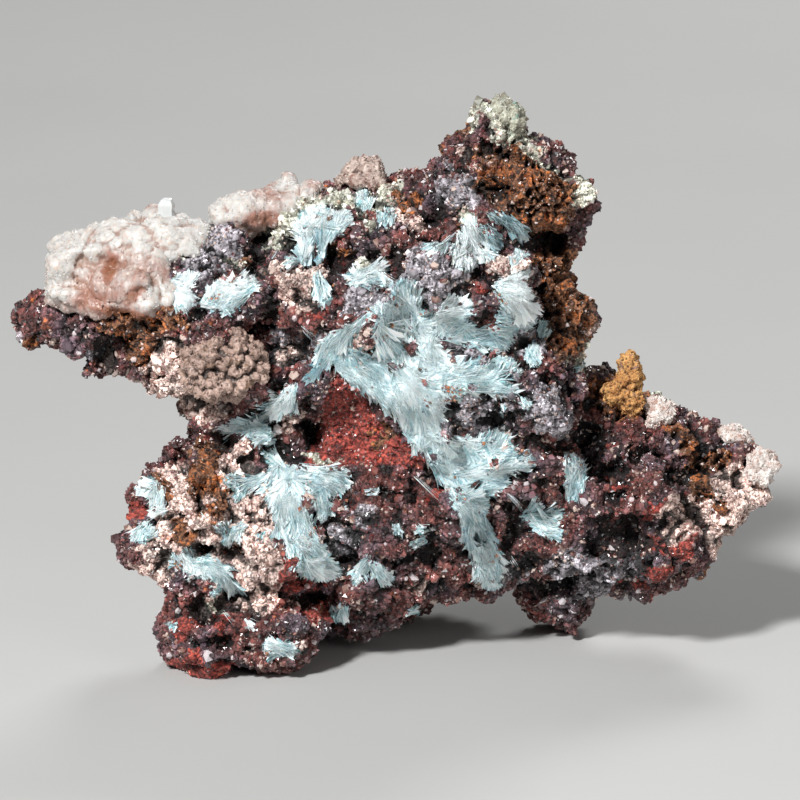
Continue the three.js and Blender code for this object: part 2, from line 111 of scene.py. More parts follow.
# %% Pebble noise
def pebbles(points, size, salt=0):
    """How far each point is from the nearest cell middle and from the second nearest, in
    shares of the size, and the nearest cell's chance.

    Every cell has one middle, dropped in it by chance, and the 27 cells round a point are
    searched."""
    scaled = points / size
    home = np.floor(scaled).astype(np.int64)
    first = np.full(len(points), 9.0)
    second = np.full(len(points), 9.0)
    lot = np.zeros(len(points))
    for step in np.ndindex(3, 3, 3):
        cell = home + np.array(step) - 1
        middle = cell + np.stack([chance(cell, salt + k) for k in range(3)], axis=1)
        distance = np.linalg.norm(scaled - middle, axis=1)
        nearer = distance < first
        second = np.where(nearer, first, np.minimum(second, distance))
        lot = np.where(nearer, chance(cell, salt + 3), lot)
        first = np.where(nearer, distance, first)
    return first, second, lot


def lumps(points, size, salt=0):
    """Round lumps from about -0.5 to 1: a dome in each cell, 1 less the square of the distance
    from its middle, higher or lower by chance, with creases where cells meet."""
    first, _, lot = pebbles(points, size, salt)
    return 0.75 - 1.4 * first**2 + 0.6 * (lot - 0.5)


def pits(points, size, share, salt=0):
    """Round holes, 1 in their depths and 0 outside, in that share of the cells."""
    first, _, lot = pebbles(points, size, salt)
    return np.where(lot < share, smooth(0.5, 0.18, first), 0)


# %% [markdown]
# ## From solid to fine mesh
#
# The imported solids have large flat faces. Each is copied, its loose triangles are joined, and a
# voxel remesh covers it with small even squares, which the noise can then move. Subdividing
# would keep the long thin triangles of the joins, and the remesh doesn't. The corners and faces
# live in numpy arrays until the piece is finished.

# %% Reading and remeshing a solid
def corners_of(mesh):
    places = np.empty(len(mesh.vertices) * 3)
    mesh.vertices.foreach_get("co", places)
    return places.reshape(-1, 3)


def joined(node):
    """A solid's corners in millimetres and its triangles. Corners that share a place to within
    a thousandth of a millimetre become one."""
    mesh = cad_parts[node].data
    mesh.calc_loop_triangles()
    triangles = np.empty(len(mesh.loop_triangles) * 3, dtype=np.int32)
    mesh.loop_triangles.foreach_get("vertices", triangles)
    places, index = np.unique(np.round(corners_of(mesh) / MM, 3), axis=0, return_inverse=True)
    return places, index.ravel()[triangles].reshape(-1, 3)


def evenly(corners, faces, voxel):
    """The same closed surface as corners and four-sided faces, each about one voxel wide."""
    draft = bpy.data.meshes.new("draft")
    draft.from_pydata(corners.tolist(), [], faces.tolist())
    holder = bpy.data.objects.new("draft", draft)
    bpy.context.collection.objects.link(holder)
    remesh = holder.modifiers.new("even faces", "REMESH")
    remesh.mode = "VOXEL"
    remesh.voxel_size = voxel
    drawn = holder.evaluated_get(bpy.context.evaluated_depsgraph_get()).to_mesh()
    places = corners_of(drawn)
    squares = np.empty(len(drawn.loops), dtype=np.int32)
    drawn.loops.foreach_get("vertex_index", squares)
    bpy.data.objects.remove(holder)
    bpy.data.meshes.remove(draft)
    return places, squares.reshape(-1, 4)


# %% Normals and easing
def normals_of(corners, faces):
    """The outward direction at each corner: the sum of its faces' cross products of two
    diagonals or sides, which weighs each face by its area."""
    first = corners[faces[:, -2]] - corners[faces[:, 0]]
    second = corners[faces[:, -1]] - corners[faces[:, 1 if faces.shape[1] == 4 else 0]]
    across = np.cross(first, second)
    total = np.zeros_like(corners)
    for axis in range(3):
        weights = np.repeat(across[:, axis], faces.shape[1])
        total[:, axis] = np.bincount(faces.ravel(), weights=weights, minlength=len(corners))
    return total / np.maximum(np.linalg.norm(total, axis=1, keepdims=True), 1e-12)


def eased(values, faces, rounds):
    """Each corner's values moved to the mean of its faces' neighbours, round after round."""
    sides = faces.shape[1]
    start = faces.ravel()
    end = np.roll(faces, -1, axis=1).ravel()
    count = np.bincount(start, minlength=len(values)) + np.bincount(end, minlength=len(values))
    out = values.reshape(len(values), -1).astype(float)
    for _ in range(rounds):
        for column in range(out.shape[1]):
            there = np.bincount(start, weights=out[end, column], minlength=len(values))
            back = np.bincount(end, weights=out[start, column], minlength=len(values))
            out[:, column] = (there + back) / np.maximum(count, 1)
    return out.reshape(values.shape)


# %% Making a piece
def piece(name, corners, faces, material, slot, replaced=(), rounded=True, **values):
    """A piece in metres from corners in millimetres and faces that all have the same number of
    sides. Each further value becomes an attribute of the corners."""
    mesh = bpy.data.meshes.new(name)
    mesh.vertices.add(len(corners))
    mesh.vertices.foreach_set("co", (corners * MM).astype(np.float32).ravel())
    mesh.loops.add(faces.size)
    mesh.loops.foreach_set("vertex_index", faces.astype(np.int32).ravel())
    mesh.polygons.add(len(faces))
    starts = np.arange(0, faces.size, faces.shape[1], dtype=np.int32)
    mesh.polygons.foreach_set("loop_start", starts)
    mesh.polygons.foreach_set("use_smooth", np.full(len(faces), rounded))
    for key, column in values.items():
        layer = mesh.attributes.new(key, "FLOAT", "POINT")
        layer.data.foreach_set("value", np.asarray(column, dtype=np.float32))
    mesh.update(calc_edges=True)
    mesh.materials.append(material)
    made = bpy.data.objects.new(name, mesh)
    bpy.context.collection.objects.link(made)
    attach(made, "root")
    if replaced:
        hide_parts(*replaced)
    print(name, "has", len(faces) * (faces.shape[1] - 2), "triangles")


# %% [markdown]
# ## Places on the specimen
#
# The stains and needles are laid out as the specimen is seen from the front, fourteen degrees
# from above: so many millimetres across, up from the front edge of the ground, and away. The
# back has a view of its own. Turning the corners into such a view is one matrix product.

# %% The two views
VIEW_TILT = math.radians(14)
LAYOUT_ZERO = np.array([0.431, -6.898, 0.0])
FRONT = np.array([
    [1, 0, 0],
    [0, math.sin(VIEW_TILT), math.cos(VIEW_TILT)],
    [0, math.cos(VIEW_TILT), -math.sin(VIEW_TILT)],
])
BACK = np.array([[-1, 0, 0], [0, 0, 1], [0, -1, 0]])


def seen(points, view):
    """Across, up and away in a view: the distances along the view's three directions."""
    return (points - LAYOUT_ZERO) @ view.T


def placed(places, view):
    """The points that have these places in a view."""
    return places @ view + LAYOUT_ZERO


# %% Patches of one kind of surface
def patches(places, rows, edge):
    """How much each place belongs to the leaning ellipses in rows: 1 inside, 0 outside, with a
    soft border of that share of the ellipse. A row is across, up, half the width, half the
    height, and the lean in degrees."""
    best = np.zeros(len(places))
    for across, up, wide, tall, lean in rows:
        turn = math.radians(lean)
        x = places[:, 0] - across
        y = places[:, 1] - up
        along = (x * math.cos(turn) + y * math.sin(turn)) / wide
        over = (y * math.cos(turn) - x * math.sin(turn)) / tall
        best = np.maximum(best, smooth(1 + edge, 1 - edge, np.hypot(along, over)))
    return best


# %% Inside an outline
def inside_by(places, outline):
    """How far each place is inside an outline, in millimetres, and below 0 outside it.

    The distance is the least one to the outline's sides. A place is inside if a line from it
    to the far right crosses the sides an odd number of times. Places that are more than 2 mm
    outside the outline's box are only given as -2."""
    start = np.array(outline, dtype=float)
    side = np.roll(start, -1, axis=0) - start
    found = np.full(len(places), -2.0)
    near = ((places > start.min(axis=0) - 2) & (places < start.max(axis=0) + 2)).all(axis=1)
    reach = places[near][:, None, :] - start
    share = np.clip((reach * side).sum(axis=2) / (side**2).sum(axis=1), 0, 1)
    distance = np.linalg.norm(reach - share[:, :, None] * side, axis=2).min(axis=1)
    rise = np.where(side[:, 1] == 0, 1e-9, side[:, 1])
    crosses = (reach[:, :, 1] < 0) != (reach[:, :, 1] < side[:, 1])
    right = reach[:, :, 0] < side[:, 0] * reach[:, :, 1] / rise
    odd = (crosses & right).sum(axis=1) % 2 == 1
    found[near] = np.where(odd, distance, -distance)
    return found


def oval(across, up, wide, tall, lean):
    """An outline of twelve points round a leaning ellipse, in the columns of patches()."""
    turn = math.radians(lean)
    angle = np.linspace(0, 2 * math.pi, 12, endpoint=False)
    x, y = wide * np.cos(angle), tall * np.sin(angle)
    return np.stack([across + x * math.cos(turn) - y * math.sin(turn),
                     up + x * math.sin(turn) + y * math.cos(turn)], axis=1)


# %% Where the rock is stained, as seen from the front
STAINS = {
    "red_earth": [
        (-8.8, 5.0, 2.4, 1.3, 8), (-11.8, 8.2, 2.2, 1.8, 20), (-8.4, 6.8, 1.0, 1.8, 0),
        (27.6, 11.2, 2.6, 1.0, 20), (26.8, 15.4, 1.2, 0.8, 0), (22.0, 21.0, 1.3, 0.6, 20),
        (25.0, 7.4, 2.4, 0.7, 20), (23.6, 17.4, 0.9, 0.7, 0), (-21.0, -0.6, 5.0, 1.0, -6),
        (-27.6, 15.2, 0.9, 1.5, 0), (-18.6, 22.6, 1.8, 0.8, -10), (9.0, 37.8, 1.7, 0.5, -38),
        (1.4, 20.6, 2.0, 1.4, -20), (4.2, 17.4, 0.8, 0.7, 0), (-8.4, 36.2, 1.4, 0.8, 0),
        (-20.8, 3.6, 3.4, 1.6, 8),
    ],
    "ochre": [
        (12.6, 49.6, 5.0, 3.6, -20), (15.0, 46.4, 4.4, 2.4, 20), (17.0, 38.4, 2.4, 5.4, 8),
        (17.6, 33.4, 1.8, 2.6, 0), (24.0, 26.6, 4.4, 2.4, -20), (-26.8, 34.8, 5.4, 1.2, -6),
        (-27.4, 31.8, 2.0, 1.6, -40), (-20.6, 19.8, 1.6, 2.8, 8), (-18.4, 16.8, 1.2, 2.4, 0),
        (-6.7, 42.2, 0.7, 0.8, 0), (30.0, 21.6, 3.6, 1.2, -38), (-0.8, 23.4, 0.9, 1.6, 30),
        (1.6, 47.2, 1.4, 0.9, 20), (8.2, 22.5, 0.7, 0.4, 0), (-15.6, 41.2, 1.0, 0.7, 0),
        (-38.8, 33.3, 0.8, 0.6, 0), (-22.6, 13.2, 0.8, 1.6, 20), (-16.6, 12.0, 0.7, 1.4, 0),
        (31.4, 17.4, 1.4, 1.8, 20), (6.0, 44.0, 0.6, 0.5, 0), (-2.4, 22.6, 1.2, 0.6, -30),
        (33.4, 15.0, 0.7, 0.9, 0), (33.2, 20.4, 1.4, 0.9, -20), (-24.4, 17.4, 0.9, 1.2, 0),
    ],
    "tan_druse": [
        (-22.4, 29.0, 5.0, 3.4, -32), (-19.0, 15.6, 6.4, 6.0, 0), (-15.2, 8.4, 2.4, 4.0, 0),
        (35.0, 16.4, 3.0, 4.0, -20), (34.6, 11.4, 2.4, 4.0, 20), (1.0, 45.2, 2.2, 1.0, -10),
        (-10.6, 38.6, 2.4, 2.8, 0), (-3.7, 32.8, 1.5, 1.3, 0), (-24.8, 10.4, 2.2, 3.0, 0),
        (-13.0, 24.4, 2.0, 1.6, -10), (-19.2, 5.8, 1.8, 1.0, 20), (19.0, 31.6, 1.2, 2.6, 0),
        (11.0, 40.4, 1.6, 1.0, 0), (2.0, 7.4, 1.0, 0.9, 0), (29.6, 14.4, 3.2, 2.0, -20),
        (-11.4, 31.2, 1.6, 1.2, 0), (6.8, 52.4, 0.8, 0.9, 0),
    ],
    "grey_glitter": [
        (3.4, 39.0, 3.4, 3.2, 0), (-3.6, 36.8, 2.8, 1.6, 16), (7.2, 25.4, 2.8, 2.4, 0),
        (7.2, 31.8, 2.6, 1.2, -20), (-19.4, 42.0, 3.0, 3.0, 0), (-32.0, 31.4, 1.6, 1.4, 0),
        (20.4, 8.6, 4.6, 2.6, 0), (-6.6, 12.4, 2.2, 1.8, 0), (13.6, 32.6, 2.6, 1.8, 0),
        (6.4, 48.2, 2.0, 2.6, 10), (10.8, 26.6, 1.4, 2.4, 0), (-11.2, 32.0, 3.0, 2.4, 0),
        (12.4, 8.4, 2.0, 1.2, 0), (-4.2, 14.8, 1.6, 1.2, 0), (15.4, 25.8, 1.8, 3.0, 20),
    ],
    "pale_crust": [
        (8.4, 55.6, 2.0, 1.0, 20), (14.0, 52.8, 2.6, 0.9, -38), (19.4, 48.0, 1.1, 2.1, 14),
        (17.0, 50.8, 1.8, 0.6, -36), (11.4, 54.4, 1.6, 0.8, -30), (-2.0, 47.4, 3.0, 1.2, 20),
        (18.8, 31.2, 0.9, 2.0, 0), (-12.6, 44.6, 2.2, 1.6, 0), (-4.6, 41.4, 1.2, 0.9, 0),
        (-17.0, 40.9, 1.6, 0.5, -20), (-8.6, 20.4, 2.6, 0.3, -6), (-22.6, 42.6, 0.8, 2.0, 25),
        (10.6, 33.0, 0.9, 0.6, 30), (-18.6, 5.6, 1.4, 0.5, -40), (7.0, 45.2, 1.2, 0.9, 0),
        (-7.6, 47.2, 4.6, 1.2, 4),
    ],
}
STAIN_EDGE = 0.3
STAIN_WARP = 1.3


def stains_at(points, normals):
    """How far each stain covers each point, by name, from 0 to 1.

    On the front the places, pushed about by noise, are looked up in the rows. Away from the
    front the same stains come and go with wide noise."""
    places = seen(points, FRONT)
    for axis in (0, 1):
        places[:, axis] += STAIN_WARP * clouds(points, 2.6, 40 + 5 * axis)
    facing = smooth(-0.35, 0.15, -normals @ FRONT[2])
    found = {}
    for order, (name, rows) in enumerate(STAINS.items()):
        front = patches(places, rows, STAIN_EDGE)
        behind = 0.9 * smooth(0.3, 0.7, clouds(points, 6.5, 60 + 7 * order))
        found[name] = facing * front + (1 - facing) * behind
    return found


print("stains:", {name: len(rows) for name, rows in STAINS.items()})

# %% [markdown]
# ## Where the aurichalcite lies
#
# The fibres lie in mats with clear borders, and in each mat they flow like combed hair. Growing
# them in round fans would be shorter to write, but the mats would then look like stars. So each
# growth has outlines and a few headings, in degrees from straight right and turning left. In
# between, the headings are blended.

# %% Where the aurichalcite grows
# Each growth's outlines in millimetres across and up, and then how its fibres lie: across, up
# and the heading.
GROWTHS = {
    "vein": ([
        [(-0.4, 39.2), (0.5, 39.2), (1.1, 38.1), (2.0, 37.9), (1.9, 36.2), (3.0, 35.4), (4.2, 35.4),
         (4.6, 37.0), (6.6, 37.5), (8.1, 36.5), (6.5, 35.2), (8.0, 34.5), (7.6, 33.7), (10.2, 34.0),
         (12.2, 33.9), (11.6, 32.9), (10.6, 31.9), (7.0, 32.1), (7.4, 33.1), (5.8, 32.8), (3.9, 33.4),
         (4.4, 31.2), (5.8, 30.2), (6.3, 29.4), (7.9, 31.0), (9.9, 31.4), (12.0, 30.8), (12.7, 29.4),
         (12.0, 28.0), (11.2, 27.1), (8.0, 27.6), (6.2, 27.6), (6.4, 26.6), (4.6, 26.5), (4.4, 24.4),
         (3.8, 23.9), (4.6, 23.1), (7.7, 22.9), (8.6, 22.1), (9.3, 23.2), (10.8, 24.0), (11.4, 23.2),
         (11.8, 22.0), (12.8, 21.2), (13.6, 21.5), (14.2, 20.7), (13.2, 19.8), (12.2, 19.4), (10.9, 19.3),
         (11.3, 18.0), (9.4, 16.9), (8.9, 14.4), (9.7, 13.4), (9.9, 11.5), (10.6, 7.8), (10.1, 6.8),
         (9.3, 6.9), (8.2, 8.0), (7.8, 10.2), (7.0, 11.8), (6.1, 12.2), (6.4, 14.2), (5.8, 15.6),
         (4.9, 16.4), (5.2, 17.4), (4.0, 18.8), (2.8, 20.8), (0.8, 22.4), (0.0, 25.0), (-1.2, 26.3),
         (-2.4, 26.5), (-3.9, 28.3), (-5.4, 28.5), (-6.6, 30.1), (-7.6, 30.5), (-9.8, 27.6), (-8.6, 30.6),
         (-8.8, 31.8), (-8.1, 33.0), (-6.2, 33.5), (-4.6, 34.8), (-3.2, 35.3), (-4.2, 33.6), (-5.2, 32.4),
         (-4.6, 31.7), (-3.0, 31.3), (-2.0, 32.6), (-2.9, 33.9), (-2.4, 34.9), (-3.2, 36.3), (-0.9, 37.0)],
    ], [
        (-8.4, 29.8, 230), (-7.0, 32.4, 225), (-4.6, 34.3, 218), (-5.2, 30.9, 335), (-3.6, 29.6, 325),
        (-2.6, 28.4, 318), (-1.8, 35.6, 120), (0.2, 38.2, 95), (1.2, 36.0, 110), (-1.4, 33.6, 250),
        (-0.6, 31.4, 300), (1.4, 34.2, 280), (2.4, 32.4, 275), (3.4, 34.4, 20), (5.6, 36.6, 35),
        (6.0, 34.6, 20), (8.6, 33.8, 0), (9.6, 32.6, 340), (3.2, 31.0, 290), (3.0, 29.0, 300),
        (0.6, 28.6, 318), (-0.6, 27.2, 315), (1.8, 26.4, 292), (4.2, 29.0, 20), (6.6, 28.8, 25),
        (8.6, 29.6, 25), (11.0, 30.4, 60), (10.4, 27.8, 345), (4.6, 27.2, 300), (1.2, 24.4, 302),
        (3.0, 24.0, 290), (4.2, 22.0, 285), (3.6, 20.6, 305), (6.6, 21.6, 50), (8.6, 21.4, 45),
        (10.6, 23.0, 60), (9.6, 20.4, 30), (12.4, 20.4, 15), (7.6, 19.2, 15), (10.2, 18.8, 12),
        (8.0, 17.4, 20), (6.4, 18.0, 330), (5.6, 16.4, 300), (7.4, 15.0, 285), (6.8, 13.0, 280),
        (8.8, 13.6, 290), (8.4, 10.6, 288), (9.2, 8.0, 280),
    ]),
    "bank": ([
        [(9.5, 38.5), (10.6, 39.1), (11.9, 40.2), (12.7, 40.1), (11.7, 40.6), (10.8, 41.0), (11.0, 41.8),
         (11.5, 41.4), (11.8, 42.7), (12.5, 41.9), (13.3, 41.8), (13.1, 40.8), (13.3, 40.0), (13.0, 38.6),
         (13.8, 37.4), (13.2, 37.1), (14.3, 36.2), (14.5, 35.4), (13.2, 34.0), (12.2, 33.6), (10.2, 34.1),
         (10.1, 35.2), (10.7, 36.4), (9.9, 37.4)],
    ], [
        (10.6, 38.4, 350), (12.0, 39.4, 20), (12.6, 41.6, 70), (11.0, 41.4, 100), (12.6, 37.8, 345),
        (11.0, 36.6, 300), (13.4, 36.4, 335), (11.6, 34.8, 10), (13.6, 35.2, 350),
    ]),
    "upper_fan": ([
        [(6.1, 45.7), (7.4, 45.7), (7.9, 45.1), (8.0, 43.8), (9.7, 41.7), (9.7, 40.9), (8.2, 41.2),
         (7.6, 40.3), (6.6, 39.8), (5.8, 40.6), (5.1, 42.0), (2.4, 41.8), (3.0, 43.1), (4.2, 42.9),
         (5.8, 43.3), (6.1, 44.3), (6.8, 44.8)],
    ], [
        (3.6, 42.6, 200), (7.0, 45.2, 280), (7.0, 43.2, 285), (8.6, 42.2, 315), (6.6, 41.0, 262),
        (5.4, 42.4, 235),
    ]),
    "neck_fringe": ([
        [(8.7, 46.1), (10.6, 46.1), (12.0, 45.4), (13.4, 43.6), (13.0, 43.0), (11.6, 44.6), (9.0, 45.4)],
        [(8.3, 45.0), (9.6, 44.7), (10.8, 43.3), (10.3, 42.0), (9.8, 42.0), (8.2, 43.9)],
    ], [
        (9.0, 45.8, 330), (11.0, 45.4, 325), (12.6, 44.2, 308), (9.4, 43.6, 318),
    ]),
    "cascade": ([
        [(-11.3, 44.8), (-10.4, 45.4), (-9.8, 46.6), (-9.0, 46.4), (-7.8, 46.9), (-6.8, 46.2), (-5.2, 46.5),
         (-4.9, 44.9), (-6.2, 44.2), (-6.9, 43.5), (-7.9, 42.4), (-7.9, 41.2), (-8.6, 40.8), (-10.6, 40.9),
         (-11.9, 40.1), (-11.8, 41.4), (-10.9, 41.6), (-10.6, 43.8)],
        [(-8.5, 39.9), (-7.3, 38.6), (-6.6, 38.6), (-7.1, 38.1), (-6.7, 37.4), (-7.4, 36.4), (-8.7, 36.2),
         (-8.3, 37.4), (-9.0, 39.2)],
    ], [
        (-10.8, 44.2, 120), (-9.6, 45.4, 105), (-8.6, 42.4, 95), (-7.6, 45.2, 82), (-6.4, 45.2, 60),
        (-5.4, 45.6, 40), (-10.4, 42.0, 110), (-9.6, 41.6, 100), (-11.4, 40.6, 220), (-8.2, 38.6, 275),
        (-7.8, 37.0, 265), (-7.0, 38.4, 330),
    ]),
    "left_shelf": ([
        [(-25.3, 38.0), (-24.6, 38.8), (-23.0, 39.4), (-22.0, 39.9), (-20.9, 39.9), (-21.4, 38.6),
         (-21.1, 36.7), (-22.0, 35.9), (-22.7, 35.9), (-24.0, 37.2), (-25.2, 37.6)],
        [(-20.6, 36.4), (-19.8, 37.8), (-19.0, 39.2), (-16.8, 38.9), (-15.2, 39.6), (-14.4, 38.7),
         (-15.6, 37.4), (-17.2, 35.7), (-18.2, 35.5), (-19.2, 36.2)],
    ], [
        (-24.6, 38.2, 190), (-23.2, 37.4, 330), (-22.0, 37.0, 300), (-21.6, 39.2, 60), (-19.4, 38.4, 60),
        (-17.2, 38.4, 30), (-15.2, 39.0, 35), (-16.4, 37.0, 225), (-18.2, 36.0, 185),
    ]),
    "middle_ledge": ([
        [(-6.1, 39.3), (-5.0, 40.2), (-4.6, 40.9), (-3.9, 39.6), (-3.2, 40.3), (-2.4, 40.7), (-0.8, 40.7),
         (-1.1, 38.6), (-1.5, 37.9), (-2.6, 38.7), (-5.2, 38.5)],
    ], [
        (-5.2, 39.0, 10), (-4.7, 40.2, 90), (-2.4, 40.2, 20), (-1.4, 39.2, 290), (-3.8, 38.9, 0),
    ]),
    "left_fan": ([
        [(-19.6, 24.0), (-17.8, 24.2), (-16.0, 24.8), (-14.4, 25.6), (-13.0, 27.0), (-11.6, 28.2),
         (-10.6, 28.1), (-10.8, 26.4), (-10.6, 25.2), (-11.4, 24.8), (-12.4, 25.4), (-13.9, 25.0),
         (-13.1, 23.4), (-13.2, 22.2), (-14.2, 22.0), (-15.7, 22.6), (-16.2, 23.4), (-19.4, 23.5)],
    ], [
        (-11.2, 27.6, 250), (-12.6, 26.6, 225), (-11.0, 25.6, 265), (-14.0, 23.6, 190), (-14.8, 22.8, 185),
        (-17.8, 23.9, 185),
    ]),
    "lower_spray": ([
        [(-14.6, 21.3), (-13.2, 21.2), (-12.0, 19.8), (-9.4, 19.9), (-5.4, 19.4), (-5.3, 17.4),
         (-6.8, 17.3), (-7.2, 16.4), (-7.2, 14.8), (-7.9, 13.9), (-8.5, 14.4), (-9.2, 16.7), (-9.8, 16.9),
         (-10.1, 16.2), (-8.8, 13.3), (-8.6, 12.0), (-7.7, 11.0), (-7.5, 9.8), (-5.9, 8.8), (-7.0, 8.1),
         (-8.4, 8.2), (-10.4, 8.8), (-11.4, 9.2), (-11.4, 10.5), (-12.3, 12.0), (-12.9, 13.0),
         (-12.9, 14.4), (-13.6, 15.4), (-13.7, 17.6), (-15.2, 17.7), (-16.2, 17.2), (-16.9, 16.0),
         (-17.0, 17.2), (-18.3, 18.7), (-17.5, 19.3), (-16.4, 18.6), (-15.2, 18.7), (-13.6, 19.4),
         (-13.7, 20.2)],
    ], [
        (-14.0, 20.8, 140), (-17.4, 18.6, 160), (-16.8, 16.8, 260), (-15.0, 18.6, 190), (-13.2, 18.6, 250),
        (-12.6, 16.6, 255), (-11.4, 19.4, 60), (-11.8, 17.0, 272), (-9.4, 18.8, 350), (-7.0, 18.4, 350),
        (-5.8, 18.4, 300), (-8.4, 16.6, 285), (-7.9, 14.8, 270), (-11.6, 13.8, 275), (-10.6, 13.0, 300),
        (-9.6, 11.6, 305), (-8.2, 10.0, 315), (-6.8, 8.8, 335), (-10.8, 9.6, 250),
    ]),
    "left_edge": ([
        [(-27.6, 17.6), (-26.8, 18.2), (-25.9, 18.5), (-25.0, 18.2), (-24.3, 16.4), (-24.7, 15.4),
         (-23.8, 15.2), (-24.4, 14.8), (-26.6, 14.4), (-25.5, 15.6), (-26.0, 16.4), (-27.3, 17.0)],
        [(-28.2, 12.1), (-27.6, 13.2), (-26.4, 14.0), (-24.9, 13.4), (-24.9, 12.9), (-26.4, 11.7),
         (-27.4, 12.0)],
    ], [
        (-26.4, 17.6, 170), (-25.2, 17.0, 280), (-25.2, 15.4, 200), (-24.4, 15.1, 350), (-26.8, 13.2, 230),
        (-25.6, 13.2, 30),
    ]),
    "lower_fan": ([
        [(-24.0, 10.5), (-22.2, 11.3), (-21.0, 10.6), (-20.2, 11.0), (-18.4, 9.8), (-17.4, 9.4),
         (-17.3, 8.8), (-17.9, 8.4), (-17.0, 7.9), (-16.2, 6.5), (-17.8, 6.7), (-18.3, 7.4), (-19.6, 8.3),
         (-21.6, 8.1), (-22.8, 9.4)],
    ], [
        (-23.0, 10.6, 140), (-22.0, 10.0, 300), (-21.2, 8.8, 190), (-20.0, 9.8, 350), (-18.4, 9.2, 340),
        (-17.0, 7.4, 315), (-18.0, 7.6, 270),
    ]),
    "block_patch": ([
        [(-19.1, 13.8), (-18.3, 14.3), (-17.4, 13.4), (-16.8, 13.9), (-16.1, 13.9), (-15.8, 13.4),
         (-16.6, 11.8), (-17.6, 12.2), (-18.3, 11.3), (-18.6, 13.2)],
    ], [
        (-18.6, 13.6, 120), (-17.0, 12.8, 250), (-16.3, 13.4, 40), (-18.1, 11.8, 270),
    ]),
    "foot_patch": ([
        [(-14.4, 1.2), (-13.8, 1.9), (-12.4, 1.9), (-10.8, 1.3), (-10.4, 0.5), (-12.4, 0.2), (-14.0, 0.5)],
    ], [
        (-13.4, 1.4, 170), (-12.0, 1.0, 350), (-11.0, 0.7, 345),
    ]),
    "upright_tuft": ([
        [(17.0, 20.6), (17.2, 21.2), (17.8, 21.3), (19.2, 20.0), (19.3, 17.9), (18.7, 16.7), (18.0, 16.1),
         (17.2, 16.4)],
    ], [
        (18.1, 16.2, 90), (17.3, 20.5, 98), (18.9, 19.5, 75),
    ]),
    "star_tuft": ([
        [(12.6, 14.6), (13.6, 15.8), (14.2, 16.6), (14.8, 16.2), (14.6, 15.7), (15.1, 15.3), (16.1, 15.3),
         (16.8, 15.6), (16.9, 14.9), (17.9, 14.5), (16.9, 14.2), (16.7, 13.6), (17.0, 12.4), (15.7, 12.2),
         (13.7, 13.2), (13.8, 14.0), (13.0, 14.1)],
    ], [
        (13.2, 14.8, 10), (14.6, 15.8, 55), (16.2, 15.3, 15), (16.8, 14.4, 352), (14.3, 13.5, 350),
        (15.8, 13.0, 345), (15.4, 12.5, 315), (16.8, 12.8, 330),
    ]),
    "back_spray": ([
        [(-7.2, 31.0), (-5.8, 34.4), (-2.8, 36.8), (0.8, 37.4), (3.8, 35.4), (4.9, 31.8), (3.6, 28.0),
         (1.0, 26.2), (-2.4, 26.2), (-5.6, 27.8)],
    ], [
        (-5.6, 33.6, 160), (0.4, 36.6, 80), (5.4, 31.6, 0), (1.2, 26.4, 285), (-4.6, 28.0, 230),
    ]),
    "back_fan": ([
        [(12.1, 13.4), (13.2, 15.6), (15.6, 16.4), (18.2, 15.8), (19.3, 13.8), (18.2, 11.6), (15.8, 11.0),
         (13.2, 11.6)],
    ], [
        (12.8, 14.8, 150), (15.6, 16.0, 80), (18.6, 15.0, 30), (17.8, 12.0, 315), (13.4, 12.0, 230),
    ]),
}
# Small patches that grow beside the large ones, in the columns of patches().
LOOSE = [
    (-2.8, 17.2, 0.7, 0.4, 0), (-0.2, 13.2, 0.6, 0.7, 0), (2.1, 13.1, 0.5, 0.8, 0),
    (1.9, 11.9, 0.8, 0.6, 20), (-2.0, 8.7, 1.6, 0.7, -40), (-4.1, 8.8, 1.7, 0.6, 60),
    (-6.3, 4.4, 1.0, 1.1, 0), (15.0, 34.2, 0.7, 0.9, 0), (13.8, 31.4, 0.8, 1.2, 0),
    (18.9, 30.1, 0.6, 0.4, 40), (13.0, 26.6, 0.4, 0.9, 0), (10.7, 25.7, 0.4, 0.5, 0),
    (-5.8, 15.6, 0.5, 0.3, 0), (-14.4, 12.4, 0.5, 0.6, 0), (-19.1, 6.9, 0.7, 0.6, 0),
    (-23.6, 3.5, 0.5, 0.7, 0), (-15.4, 3.4, 0.7, 0.4, -35), (1.4, 4.6, 0.7, 0.6, 20),
    (-3.6, 47.6, 0.9, 1.2, 20), (-1.4, 45.6, 0.8, 1.2, -20),
]
LOOSE_FLOW = [
    (-2.8, 17.2, 0), (0.0, 12.6, 100), (2.0, 12.0, 200), (-1.4, 8.0, 315), (-4.3, 8.4, 240),
    (-6.3, 4.4, 270), (15.0, 34.2, 60), (14.0, 31.0, 280), (19.0, 30.4, 40), (-5.8, 15.6, 20),
    (-14.4, 12.4, 100), (-19.1, 6.9, 200), (-15.4, 3.4, 320), (1.4, 4.6, 20), (-3.0, 46.6, 80),
]
# Knobs of rock that stay bare amid the fibres, in the columns of patches().
BARE = {"back": [], "front": [
    (-3.7, 32.8, 1.3, 1.1, 0), (4.9, 23.6, 0.5, 0.7, 20), (2.6, 28.4, 0.35, 0.3, 0),
    (1.1, 32.2, 0.9, 1.1, 15), (0.4, 34.3, 0.35, 0.25, 0), (-0.8, 30.4, 0.3, 0.6, 25),
    (0.2, 30.1, 0.3, 0.3, 0), (8.6, 30.6, 0.5, 0.4, 20), (11.2, 28.9, 1.0, 0.8, -20),
    (7.9, 18.0, 0.6, 0.45, 0), (9.9, 20.4, 0.4, 0.6, 0), (7.4, 28.1, 0.6, 0.4, 0), (3.3, 21.0, 0.4, 0.5, 0),
    (7.9, 12.3, 0.3, 0.4, 0), (-11.0, 10.0, 0.5, 0.4, 0), (-8.7, 42.1, 0.25, 0.9, 0),
    (12.4, 40.2, 0.5, 0.3, 0), (9.0, 44.4, 0.3, 0.4, 0),
]}
